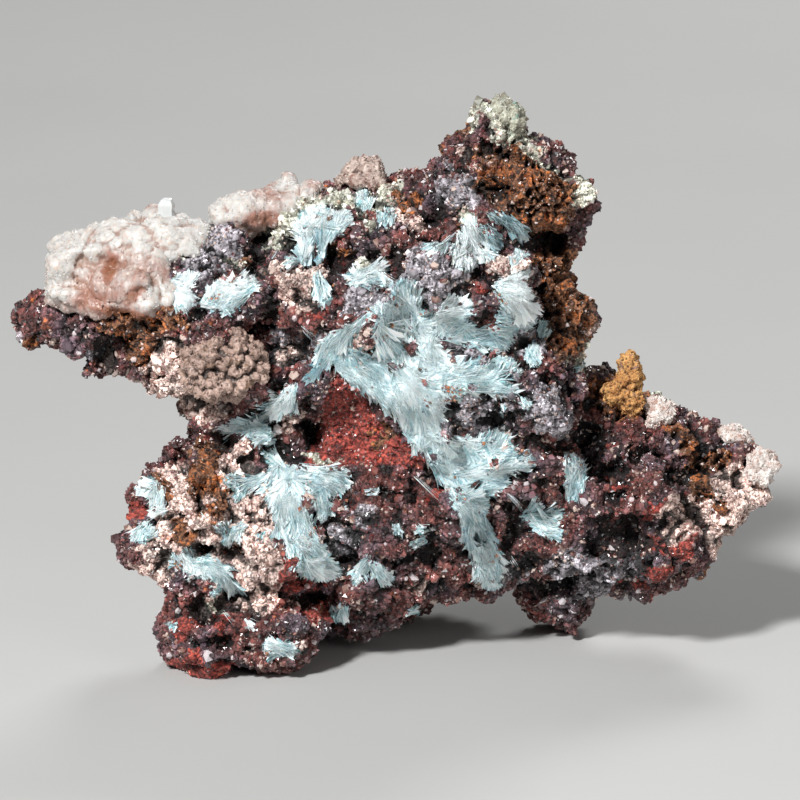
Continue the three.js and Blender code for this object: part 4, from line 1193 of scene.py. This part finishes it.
def bump_node(tree, shader, height, depth, strength=1.0):
    """Relief that is too fine for the mesh, depth millimetres deep."""
    node = tree.nodes.new("ShaderNodeBump")
    node.inputs["Distance"].default_value = depth * MM
    node.inputs["Strength"].default_value = strength
    wire(tree, height, node.inputs["Height"])
    wire(tree, node.outputs["Normal"], shader.inputs["Normal"])


def rock_material():
    material, tree, shader = new_material("iron_stained_rock", IOR=1.6)
    light = spread_node(tree, noise_node(tree, 0.3, 2), 0.36, 0.64, 0.3, 1.5)
    colours = place_group(tree, ROCK_COLOURS, Lot=noise_node(tree, 0.5, 2), Lightness=light)
    wire(tree, colours.outputs["Color"], shader.inputs["Base Color"])
    grit = weighed(tree, noise_node(tree, 0.22, 3), 0.8, cell_node(tree, 0.36))
    wire(tree, spread_node(tree, grit, 0.2, 1.2, 0.5, 0.9), shader.inputs["Roughness"])
    bump_node(tree, shader, grit, 0.16, 0.9)
    return material


# Odd grains amid the others: from which kind on, and their colour.
KINDS = [(1.5, (98, 36, 32)), (1.58, (140, 108, 96)), (1.68, (218, 196, 184))]
# How sharply one kind of grain ends and the next begins.
SHARP = 0.005


def grain_material():
    material, tree, shader = new_material("rock_grains", IOR=1.75)
    lot = attribute_node(tree, "lot")
    light = spread_node(tree, lot, 0.1, 1.0, 0.35, 1.8)
    colour = place_group(tree, ROCK_COLOURS, Lot=lot, Lightness=light).outputs["Color"]
    kind = weighed(tree, noise_node(tree, 2.6, 2), 1.4, attribute_node(tree, "kind"))
    for start, tint in KINDS:
        colour = tinted(tree, colour, kind, start, start + SHARP, 0.8, tint)
    # The brightest few grains are painted near white: painted glints.
    colour = tinted(tree, colour, lot, 0.96, 0.96 + SHARP, 0.7, (226, 220, 222))
    wire(tree, colour, shader.inputs["Base Color"])
    wire(tree, spread_node(tree, lot, 0.0, 1.0, 0.5, 0.1), shader.inputs["Roughness"])
    bump_node(tree, shader, noise_node(tree, 0.12, 2), 0.03, 0.6)
    return material


rock_look = rock_material()
grain_look = grain_material()


# %% The needles' material
WHITE = (252, 254, 253)


def needle_material():
    """Pale blue needles, lighter at their tips and darker at their roots, which is partly their
    own colour and partly painted shade deep in the mat, with stains, clouds, and thin streaks that
    follow the lane that each rib or needle lies in."""
    material, tree, shader = new_material(
        "aurichalcite_needles", IOR=1.65, Subsurface_Weight=0.15, Subsurface_Scale=0.0006,
        Sheen_Weight=0.2, Sheen_Roughness=0.4,
    )
    along, lot, tone = (attribute_node(tree, name) for name in ("along", "lot", "tone"))
    lane = tree.nodes.new("ShaderNodeCombineXYZ")
    wire(tree, attribute_node(tree, "lane"), lane.inputs[0])
    wire(tree, times(tree, along, 0.2), lane.inputs[1])
    fibre = noise_node(tree, 0.14 / MM, 3, lane.outputs[0])
    bundle = noise_node(tree, 0.42 / MM, 2, lane.outputs[0])
    cloud = noise_node(tree, 1.3, 4)
    # The roots (near) are darker than the tips (far): partly painted shade deep in the mat.
    near = blend_node(tree, lot, shade(180, 214, 218), shade(228, 243, 243))
    far = blend_node(tree, lot, shade(204, 230, 232), shade(250, 254, 253))
    colour = blend_node(tree, spread_node(tree, along, 0.0, 0.8), near, far)
    # The tone layers whiten or darken the fibres: partly their own tone, partly painted light and painted
    # shade.
    layers = [
        (noise_node(tree, 2.4, 3), 0.6, 0.78, 0.4, (176, 176, 156)),
        (noise_node(tree, 0.6, 3), 0.66, 0.72, 0.6, (168, 136, 110)),
        (cloud, 0.5, 0.66, 0.7, (244, 250, 249)), (cloud, 0.46, 0.34, 0.45, (104, 158, 166)),
        (fibre, 0.5, 0.36, 0.85, (92, 152, 162)), (fibre, 0.56, 0.68, 0.7, WHITE),
        (bundle, 0.45, 0.34, 0.6, (88, 150, 162)), (bundle, 0.52, 0.62, 0.9, WHITE),
        (tone, 0, 1, 0.85, (250, 253, 252)), (tone, 0, -1, 0.85, (60, 126, 142)),
    ]
    for layer in layers:
        colour = tinted(tree, colour, *layer)
    wire(tree, colour, shader.inputs["Base Color"])
    wire(tree, spread_node(tree, lot, 0, 1, 0.5, 0.3), shader.inputs["Roughness"])
    bump_node(tree, shader, weighed(tree, bundle, 1.6, fibre), 0.06, 0.9)
    return material


needle_look = needle_material()

# %% Growing the sprays and needles
rng = np.random.default_rng(7)


def grow(name, parts, side, replaced=()):
    """A piece from parts, each of them many small solids that are alike: their corners in a
    view, the faces of one, and the values of its corners."""
    places, faces, start = [], [], 0
    values = {"along": [], "lot": [], "lane": [], "tone": []}
    for corners, pattern, given in parts:
        count, sides = corners.shape[:2]
        places.append(placed(corners.reshape(-1, 3), VIEWS[side][0]))
        faces.append((pattern + start + sides * np.arange(count)[:, None, None]).reshape(-1, 3))
        start += count * sides
        tone = toned(corners.mean(axis=1), TONES_AND_PAINTED_LIGHT if side == "front" else [])[:, None]
        for key, value in {**given, "tone": tone}.items():
            values[key].append(np.broadcast_to(value, (count, sides)).ravel())
    places = np.concatenate(places)
    places[:, 2] = np.maximum(places[:, 2], LOWEST)
    piece(name, places, np.concatenate(faces), needle_look, "aurichalcite", replaced, rounded=False,
          **{key: np.concatenate(value) for key, value in values.items()})


for growth, (outlines, flow) in GROWTHS.items():
    side = side_of(growth)
    name = "aurichalcite_" + growth
    sheaf = np.concatenate([sheaves(outline, flow, side, rng) for outline in outlines])
    solids = [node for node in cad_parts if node.startswith(name)]
    grow(name + "_fibres", [sprays(sheaf, side, rng), needles(sheaf, side, rng)], side, solids)

sheaf = np.concatenate([sheaves(oval(*row), LOOSE_FLOW, "front", rng) for row in LOOSE])
grow("aurichalcite_loose_fibres", [sprays(sheaf, "front", rng), needles(sheaf, "front", rng)], "front")

# %% The single fibres
ends = np.array(SINGLES)
step = ends[:, 2:4] - ends[:, :2]
single = np.column_stack([
    (ends[:, :2] + ends[:, 2:4]) / 2, np.arctan2(step[:, 1], step[:, 0]), np.linalg.norm(step, axis=1),
    np.full(len(ends), 0.04), np.full(len(ends), 0.15), np.full(len(ends), 0.8),
])
grow("aurichalcite_single_fibres", [needles(single, "front", rng)], "front")

# %% The rock's piece
middle_across = rock[rock_faces, 0].mean(axis=1)
for name, half in (("matrix_rock_left", middle_across < np.median(middle_across)),
                   ("matrix_rock_right", middle_across >= np.median(middle_across))):
    used, index = np.unique(rock_faces[half], return_inverse=True)
    values = {key: value[used] for key, value in stain.items()}
    piece(name, rock[used], index.reshape(-1, 4), rock_look, "matrix", ["matrix"], rounded=False,
          hollow=hollow[used], felt=felt[used], **values)

# %% [markdown]
# ## Druses
#
# A druse is a skin of tiny crystals. Each is a squashed eight-sided grain, dropped on the rock
# at random, tilted, and half sunk. Larger knobs of twenty sides lie among them. Instances would
# be lighter, but the export drops them, so every grain is in the mesh.

# %% Dropping grains on a surface
def scattered(corners, faces, weight, count, rng):
    """Random places on a surface: the face's index and the place in it. A face is drawn as
    often as its area times its weight says, and the place lies between its first three
    corners."""
    a, b, c = (corners[faces[:, k]] for k in range(3))
    area = np.linalg.norm(np.cross(b - a, c - a), axis=1) * weight
    face = rng.choice(len(faces), size=count, p=area / area.sum())
    u, v = rng.random(count), rng.random(count)
    flip = u + v > 1
    u, v = np.where(flip, 1 - u, u), np.where(flip, 1 - v, v)
    return face, a[face] + u[:, None] * (b - a)[face] + v[:, None] * (c - a)[face]


GRAIN_CORNERS = np.array([[1, 0, 0], [0, 1, 0], [-1, 0, 0], [0, -1, 0], [0, 0, 1], [0, 0, -1]])
GRAIN_FACES = np.array([
    [0, 1, 4], [1, 2, 4], [2, 3, 4], [3, 0, 4], [1, 0, 5], [2, 1, 5], [3, 2, 5], [0, 3, 5],
])


def twenty_sided():
    """The corners and faces of a regular icosahedron, one across its corners."""
    tall = (1 + math.sqrt(5)) / 2
    pairs = [(a, b * tall) for a in (-1, 1) for b in (-1, 1)]
    corners = [[(0, a, b) for a, b in pairs], [(a, b, 0) for a, b in pairs], [(b, 0, a) for a, b in pairs]]
    places = np.array(sum(corners, []))
    apart = np.linalg.norm(places[:, None] - places, axis=2)
    touching = np.abs(apart - 2) < 0.01
    faces = []
    for a, b, c in ((a, b, c) for a in range(12) for b in range(a) for c in range(b)):
        if touching[a, b] and touching[b, c] and touching[a, c]:
            outward = np.dot(np.cross(places[b] - places[a], places[c] - places[a]), places[a]) > 0
            faces.append((a, b, c) if outward else (a, c, b))
    return places / np.linalg.norm(places[0]), np.array(faces)


# The shapes of a druse: corners, faces, how far they lean, the least and the most of their
# three half lengths, and how far their corners are moved, all in shares of their size.
GRAIN = (GRAIN_CORNERS, GRAIN_FACES, 0.4, (0.7, 0.7, 0.8), (1.2, 1.2, 1.5), 0)
KNOB = (*twenty_sided(), 0.5, (0.7, 0.7, 0.7), (1.2, 1.2, 1.3), 0.16)


def bits(shape, points, normals, size, rng):
    """The corners and faces of grains or knobs at these points.

    Each has its long axis near the surface's normal, leaning by chance, and is turned about it
    by chance. Its corners are the shape's, times its half lengths along its three axes."""
    form, sides, lean, least, most, dent = shape
    count = len(points)
    axis = normals + lean * rng.normal(size=(count, 3))
    axis /= np.linalg.norm(axis, axis=1, keepdims=True)
    east = np.cross(axis, rng.normal(size=(count, 3)))
    east /= np.linalg.norm(east, axis=1, keepdims=True)
    half = size[:, None] * rng.uniform(least, most, (count, 3))
    turn = np.stack([east, np.cross(axis, east), axis], axis=1) * half[:, :, None]
    if dent:
        form = form * (1 + dent * rng.normal(size=(count, len(form), 1)))
    corners = points[:, None, :] + form @ turn
    faces = sides + corners.shape[1] * np.arange(count)[:, None, None]
    return corners.reshape(-1, 3), faces.reshape(-1, 3)


print("a grain has", len(GRAIN_FACES), "sides and a knob", len(KNOB[1]))

# %% Grains on the rock
GRAIN_COUNT = 19500
GRAIN_PIECES = 3
KNOB_COUNT = 7500
CRUMB_COUNT = 900


def mean_of(values):
    """Each face's mean of its corners' values."""
    return values[rock_faces].mean(axis=1)


face_front = smooth(-0.2, 0.4, mean_of(-rock_normals @ FRONT[2]))
grain_weight = (0.3 + face_front) * (1 - 0.95 * mean_of(felt)) * (1.2 - 0.8 * mean_of(hollow))
grain_weight *= 1 - 0.5 * mean_of(stain["red_earth"]) + 0.7 * mean_of(flat)
grain_weight *= 1 - 0.6 * mean_of(stain["ochre"])
# By how much of their size the grains are smaller in each stain.
SMALLER = {"tan_druse": 0.2, "red_earth": 0.35, "grey_glitter": 0.2, "ochre": 0.3}


def dropped(name, count, shape, size, spread, sunk, weight, **fixed):
    """A piece of grains on the rock: so many of a shape, of that half size give or take, and
    sunk by a share of it. They have the stains of their place, other than those that are
    fixed."""
    face, points = scattered(rock, rock_faces, weight, count, rng)
    normals = rock_normals[rock_faces[face, 0]]
    each = {key: mean_of(values)[face] for key, values in stain.items()}
    half = size * np.clip(np.exp(spread * rng.normal(size=count)), 0.5, 1.9)
    half *= 1 - sum(share * each[key] for key, share in SMALLER.items())
    corners, faces = bits(shape, points - sunk * half[:, None] * normals, normals, half, rng)
    # The grains take the painted shade of the hollows they lie in.
    each.update(hollow=mean_of(hollow)[face], felt=mean_of(felt)[face])
    each.update(lot=rng.random(count), kind=rng.random(count))
    each.update({key: np.full(count, value) for key, value in fixed.items()})
    corners[:, 2] = np.maximum(corners[:, 2], LOWEST)
    piece(name, corners, faces, grain_look, "matrix", rounded=False,
          **{key: np.repeat(values, len(shape[0])) for key, values in each.items()})


for number in range(GRAIN_PIECES):
    dropped(f"matrix_druse_{number + 1}", GRAIN_COUNT, GRAIN, 0.19, 0.35, 0.3, grain_weight)
dropped("matrix_knobs", KNOB_COUNT, KNOB, 0.33, 0.3, 0.4, grain_weight)
clustered = smooth(0.45, 0.7, noise(rock[rock_faces[:, 0]], 1.1, 95))
dropped("mat_crumbs", CRUMB_COUNT, GRAIN, 0.12, 0.35, -2.2, face_front * mean_of(felt) * clustered,
        felt=0, tan_druse=0.42, ochre=0.5, red_earth=0, hollow=0, kind=0.3)

# %% [markdown]
# ## Calcite and the other crusts
#
# Calcite is pinkish and sugary: light goes in a little way and comes out again, which takes
# subsurface scattering. The crusts get the same relief as the rock with smaller lumps, and
# glassy grains of their own.

# %% Crust materials
def crust_material(name, deep, dark, light, rough, crease_shade_and_stain, mark, grain, vary, porous, creased):
    """A pale crust: two colours in clouds and streaks, a few marks, a dark colour in its
    creases, brown patches and pores that is painted shade with some brown stain, lighter and
    darker grains, and a sugary surface."""
    material, tree, shader = new_material(
        name, IOR=1.55, Subsurface_Weight=deep, Subsurface_Scale=0.0012, Subsurface_Radius=(1, 0.75, 0.6),
    )
    lot = attribute_node(tree, "lot")
    lean = tree.nodes.new("ShaderNodeMapping")
    lean.inputs["Rotation"].default_value = (0.5, 0.9, 0.2)
    lean.inputs["Scale"].default_value = (1, 1, 0.16)
    wire(tree, place_node(tree), lean.inputs["Vector"])
    streak = noise_node(tree, 0.4, 4, lean.outputs["Vector"])
    cloud = weighed(tree, noise_node(tree, 2.2, 5), 0.9, attribute_node(tree, "pale"))
    cloud = weighed(tree, lot, vary, cloud)
    cloud = weighed(tree, streak, 0.9, cloud)
    colour = blend_node(tree, spread_node(tree, cloud, 0.8, 1.5), shade(*dark), shade(*light))
    colour = tinted(tree, colour, noise_node(tree, 1.1, 4), 0.58, 0.66, 0.8, mark)
    grit = weighed(tree, noise_node(tree, 0.3, 3), 0.7, cell_node(tree, 0.45))
    # Hollows, brown patches and pores take the crease colour: painted shade, with some brown stain.
    low = spread_node(tree, attribute_node(tree, "hollow"), 0.5, 0.85, 0, creased)
    frayed = math_node(tree, "ADD", attribute_node(tree, "pale"), noise_node(tree, 0.9, 4))
    low = math_node(tree, "MAXIMUM", low, spread_node(tree, frayed, 0.35, -0.5, 0, 0.9))
    low = math_node(tree, "MAXIMUM", low, spread_node(tree, grit, 0.75, 0.5, 0, porous))
    colour = blend_node(tree, low, colour, shade(*crease_shade_and_stain))
    wire(tree, colour, shader.inputs["Base Color"])
    wire(tree, spread_node(tree, grit, 0.2, 1.2, rough, rough + 0.25), shader.inputs["Roughness"])
    bump_node(tree, shader, grit, grain, 0.9)
    return material


# Each crust: how much light goes into it, its dark and its light colour, its roughness, the
# colours of its creases (painted shade with some brown stain) and of its marks, the depth of its
# grit in millimetres, and how much its grains vary, its pores show and its creases show.
CRUSTS = {
    "sugary_calcite": (0.7, (164, 126, 114), (203, 199, 194), 0.28, (146, 92, 62), (196, 180, 170),
                       0.06, 0.35, 0.0, 0.6),
    "pale_crust": (0.1, (104, 88, 70), (200, 202, 184), 0.3, (84, 56, 40), (112, 168, 154),
                   0.16, 0.6, 0.35, 0.9),
    "white_crystals": (0.25, (196, 170, 158), (244, 240, 235), 0.3, (120, 82, 68), (170, 126, 110),
                       0.12, 0.5, 0.3, 0.9),
    "tan_crystals": (0.05, (64, 38, 34), (192, 164, 150), 0.3, (24, 13, 11), (124, 96, 74),
                     0.16, 0.9, 0.5, 0.9),
    "brown_crystals": (0.1, (112, 76, 66), (224, 206, 194), 0.3, (64, 36, 30), (128, 72, 58),
                       0.16, 0.6, 0.4, 0.9),
    "ochre_earth": (0.0, (160, 100, 52), (240, 190, 122), 0.75, (70, 38, 22), (136, 106, 100),
                    0.3, 0.5, 0.9, 0.9),
}
# Light doesn't go into the sugar, since it would come out of a grain's foot, inside the crust,
# and leave the grain dark. So each crust has two materials.
CRUST_LOOKS = {}
for name, (deep, *others) in CRUSTS.items():
    CRUST_LOOKS[name] = (crust_material(name, deep, *others), crust_material(name + "_sugar", 0, *others))
print("crust materials:", 2 * len(CRUST_LOOKS))

# %% Making a crust
# Where calcite is pale (above 0) or brown (below 0), not peach: the columns of patches(), and
# how much.
PALE = [
    (-33.6, 42.6, 3.6, 2.6, 30, 0.6), (-27.6, 44.4, 4.0, 2.0, 10, 0.7), (-21.6, 43.4, 3.6, 2.6, 0, 0.7),
    (-35.4, 38.6, 1.6, 1.8, 0, 0.5), (-25.4, 37.6, 2.2, 1.4, 10, 0.35), (-17.0, 47.0, 2.6, 1.4, 0, 0.5),
    (-11.4, 49.2, 1.4, 1.0, 0, 0.6), (-9.0, 47.0, 3.0, 1.4, 0, 0.5), (-22.0, 38.0, 1.6, 1.4, 0, 0.7),
    (-29.9, 40.2, 0.7, 1.4, -20, -0.9), (-27.4, 37.6, 1.2, 0.6, 40, -0.8), (-32.0, 37.0, 1.6, 1.0, 0, -0.4),
    (-28.6, 35.6, 2.6, 0.5, -10, -1.0), (-14.4, 45.6, 1.6, 0.7, 0, -0.6), (-30.4, 42.6, 0.5, 1.4, 30, -0.5),
]


def crust(node, look, slot, voxel, relief, sugar, sugar_size, name, fit=(1, 1, 1), about=0.5, hole=0):
    """A growth's solid, remeshed, with lumps of the given widths and heights, and with sugar
    grains on it. It is first narrowed by the shares in fit, about a place in its box that is
    given in shares of the box too."""
    plain, sugary = CRUST_LOOKS[look]
    corners, faces = evenly(*joined(node), voxel)
    low, high = corners.min(axis=0), corners.max(axis=0)
    still = low + (high - low) * np.array(about)
    corners = still + (corners - still) * np.array(fit)
    corners[:, 2] += hills_at(corners, CRUST_HILLS)
    outward = normals_of(eased(corners, faces, 3), faces)
    for order, (width, height) in enumerate(relief):
        bent = corners + 0.3 * width * np.stack([clouds(corners, width, salt) for salt in (3, 6, 9)], axis=1)
        corners = corners + outward * (height * (lumps(bent, width, 80 + 9 * order) - 0.2))[:, None]
    corners -= outward * (hole * pits(corners, 1.0, 0.5, 77))[:, None]
    corners[:, 2] = np.maximum(corners[:, 2], LOWEST)
    hollow = 0.5 * hollowness(corners, faces, 8, 0.2) + 0.5 * hollowness(corners, faces, 30, 0.4)
    pale = toned(seen(corners, FRONT), PALE)
    piece(name, corners, faces, plain, slot, [node],
          hollow=hollow, pale=pale, lot=np.full(len(corners), 0.5))
    normals = normals_of(corners, faces)
    face, points = scattered(corners, faces, 1.1 - hollow[faces[:, 0]], sugar, rng)
    first = faces[face, 0]
    size = sugar_size * np.clip(np.exp(0.4 * rng.normal(size=sugar)), 0.4, 1.8)
    grain = bits(GRAIN, points - 0.5 * size[:, None] * normals[first], normals[first], size, rng)
    piece(name + "_sugar", *grain, sugary, slot, rounded=False,
          hollow=np.repeat(hollow[first] * 0.85, 6), pale=np.repeat(pale[first], 6),
          lot=np.repeat(rng.random(sugar), 6))


# Where the calcite is lower or higher than its solid, as in HILLS.
CRUST_HILLS = [(-33.6, 46.2, 4.4, 2.8, 0, -1.3), (-34.4, 34.8, 4.4, 2.4, -10, 1.3)]
# The widths and heights of the lumps on each crust, in millimetres.
CALCITE_RELIEF = [(4.8, 1.3), (2.2, 0.5), (1.0, 0.26), (0.55, 0.14)]
NUB_RELIEF = [(2.2, 0.7), (1.1, 0.4), (0.6, 0.12)]
BUNCH_RELIEF = [(3.0, 0.5), (1.15, 1.15), (0.55, 0.26)]
HORN_RELIEF = [(1.6, 0.4), (0.7, 0.35)]
crust("calcite_crust", "sugary_calcite", "calcite", 0.26, CALCITE_RELIEF, 2400, 0.15, "calcite_mass")
crust("calcite_ridge", "sugary_calcite", "calcite", 0.26, CALCITE_RELIEF, 800, 0.15, "calcite_top")
crust("ridge_crystals", "brown_crystals", "hemimorphite", 0.25, NUB_RELIEF, 500, 0.2,
      "ridge_crystals_crust")
crust("peak_crust", "pale_crust", "hemimorphite", 0.25, NUB_RELIEF, 500, 0.2, "peak_crust_crust",
      (0.5, 0.9, 0.85), (0.7, 0.5, 0.9))
for node in ("white_nub_arm", "white_nub_shoulder", "white_nub_tip"):
    crust(node, "white_crystals", "hemimorphite", 0.25, NUB_RELIEF, 500, 0.22, node + "_crust")
crust("botryoidal_bunch", "tan_crystals", "botryoid", 0.18, BUNCH_RELIEF, 3600, 0.12, "round_crystals")
crust("limonite_horn", "ochre_earth", "limonite", 0.18, HORN_RELIEF, 1400, 0.13, "ochre_horn",
      (0.8, 0.85, 0.82), (0.6, 0.5, 1), 0.5)


# %% The clear crystal
def clear_material():
    material, tree, shader = new_material(
        "clear_crystal", Transmission_Weight=0.35, IOR=1.55, Roughness=0.08,
    )
    haze = noise_node(tree, 0.6, 3)
    colour = blend_node(tree, haze, shade(232, 238, 236), shade(252, 253, 252))
    wire(tree, colour, shader.inputs["Base Color"])
    bump_node(tree, shader, noise_node(tree, 0.4, 2), 0.04, 0.4)
    return material


# The half width of the blunt prism at a few heights above its foot, in millimetres.
CRYSTAL_RINGS = [(-0.6, 0.86), (0.1, 0.98), (0.8, 0.86), (1.4, 0.9), (1.95, 0.56), (2.15, 0.2)]
CRYSTAL_SIDES = 6


def prism(foot, rings, sides):
    """A leaning prism with a ring of corners at each height, closed by its last small ring."""
    angle = np.linspace(0, 2 * math.pi, sides, endpoint=False) + 0.2
    turn = np.stack([np.cos(angle), 0.9 * np.sin(angle), 0 * angle], axis=1)
    corners = np.concatenate([turn * half + foot + [0.06 * high, 0, high] for high, half in rings])
    ends = [foot + [0, 0, rings[0][0]], foot + [0, 0, rings[-1][0]]]
    near = np.arange(sides)
    beside = np.roll(near, -1)
    walls = [np.stack([near, beside, beside + sides, near + sides], axis=1) + sides * ring
             for ring in range(len(rings) - 1)]
    split = [part for wall in walls for part in (wall[:, [0, 1, 2]], wall[:, [0, 2, 3]])]
    last = sides * (len(rings) - 1)
    bottom = np.stack([beside, near, np.full(sides, len(corners))], axis=1)
    top = np.stack([near + last, beside + last, np.full(sides, len(corners) + 1)], axis=1)
    return np.concatenate([corners, ends]), np.concatenate(split + [bottom, top])


clear_places, _ = joined("clear_crystal")
clear_foot = np.append(clear_places[:, :2].mean(axis=0), clear_places[:, 2].max() - CRYSTAL_RINGS[-1][0])
piece("clear_prism", *prism(clear_foot, CRYSTAL_RINGS, CRYSTAL_SIDES), clear_material(), "clear",
      ["clear_crystal"], rounded=False)

# %% [markdown]
# ## Floor, light and camera
#
# The specimen stands on a plain pale floor in soft studio light: a large lamp from the upper
# left, a weaker one from the right and a pale sky. The camera looks down by fourteen degrees
# through a long lens.

# %% Floor
def floor_material():
    material, tree, shader = new_material("pale_floor")
    colour = blend_node(tree, noise_node(tree, 60, 2), shade(188, 188, 186), shade(196, 196, 194))
    wire(tree, colour, shader.inputs["Base Color"])
    shader.inputs["Roughness"].default_value = 0.7
    return material


FLOOR_SIZE = 4.0
FLOOR_DROP = 0.00002
bpy.ops.mesh.primitive_plane_add(size=FLOOR_SIZE, location=(0, 0, -FLOOR_DROP))
floor = bpy.context.object
floor.name = "floor"
floor.data.materials.append(floor_material())


# %% Lamps
def lamp(name, place, size, power):
    """A square lamp, placed in millimetres, that shines at the middle of the specimen."""
    light = bpy.data.lights.new(name, "AREA")
    light.size = size * MM
    light.energy = power
    holder = bpy.data.objects.new(name, light)
    bpy.context.collection.objects.link(holder)
    holder.location = np.array(place) * MM
    aim = np.array([0, 0, 28]) - np.array(place)
    holder.rotation_euler = Vector(aim).to_track_quat("-Z", "Y").to_euler()


lamp("key", (-280, -540, 540), 110, 8.6)
lamp("fill", (480, -520, 260), 320, 0.8)
lamp("rim", (160, 520, 420), 200, 1.6)
world = bpy.data.worlds.new("studio")
world.use_nodes = True
world.node_tree.nodes["Background"].inputs["Color"].default_value = (0.96, 0.97, 1.0, 1)
world.node_tree.nodes["Background"].inputs["Strength"].default_value = 0.07
bpy.context.scene.world = world
bpy.context.scene.view_settings.view_transform = "Standard"

# %% Camera
# How far off the camera is, and in millimetres at the specimen how wide the picture is and how
# high its middle is.
DISTANCE = 900
PICTURE_WIDTH = 83.2
PICTURE_MIDDLE_UP = 26.73
SENSOR = 36
camera_data = bpy.data.cameras.new("camera")
camera_data.sensor_width = SENSOR
camera_data.lens = SENSOR * DISTANCE / PICTURE_WIDTH
camera_data.clip_start = 0.01
camera = bpy.data.objects.new("camera", camera_data)
bpy.context.collection.objects.link(camera)
target = placed(np.array([0, PICTURE_MIDDLE_UP, PICTURE_MIDDLE_UP * -math.tan(VIEW_TILT)]), FRONT)
camera.location = (target - DISTANCE * FRONT[2]) * MM
camera.rotation_euler = (math.pi / 2 - VIEW_TILT, 0, 0)
bpy.context.scene.camera = camera
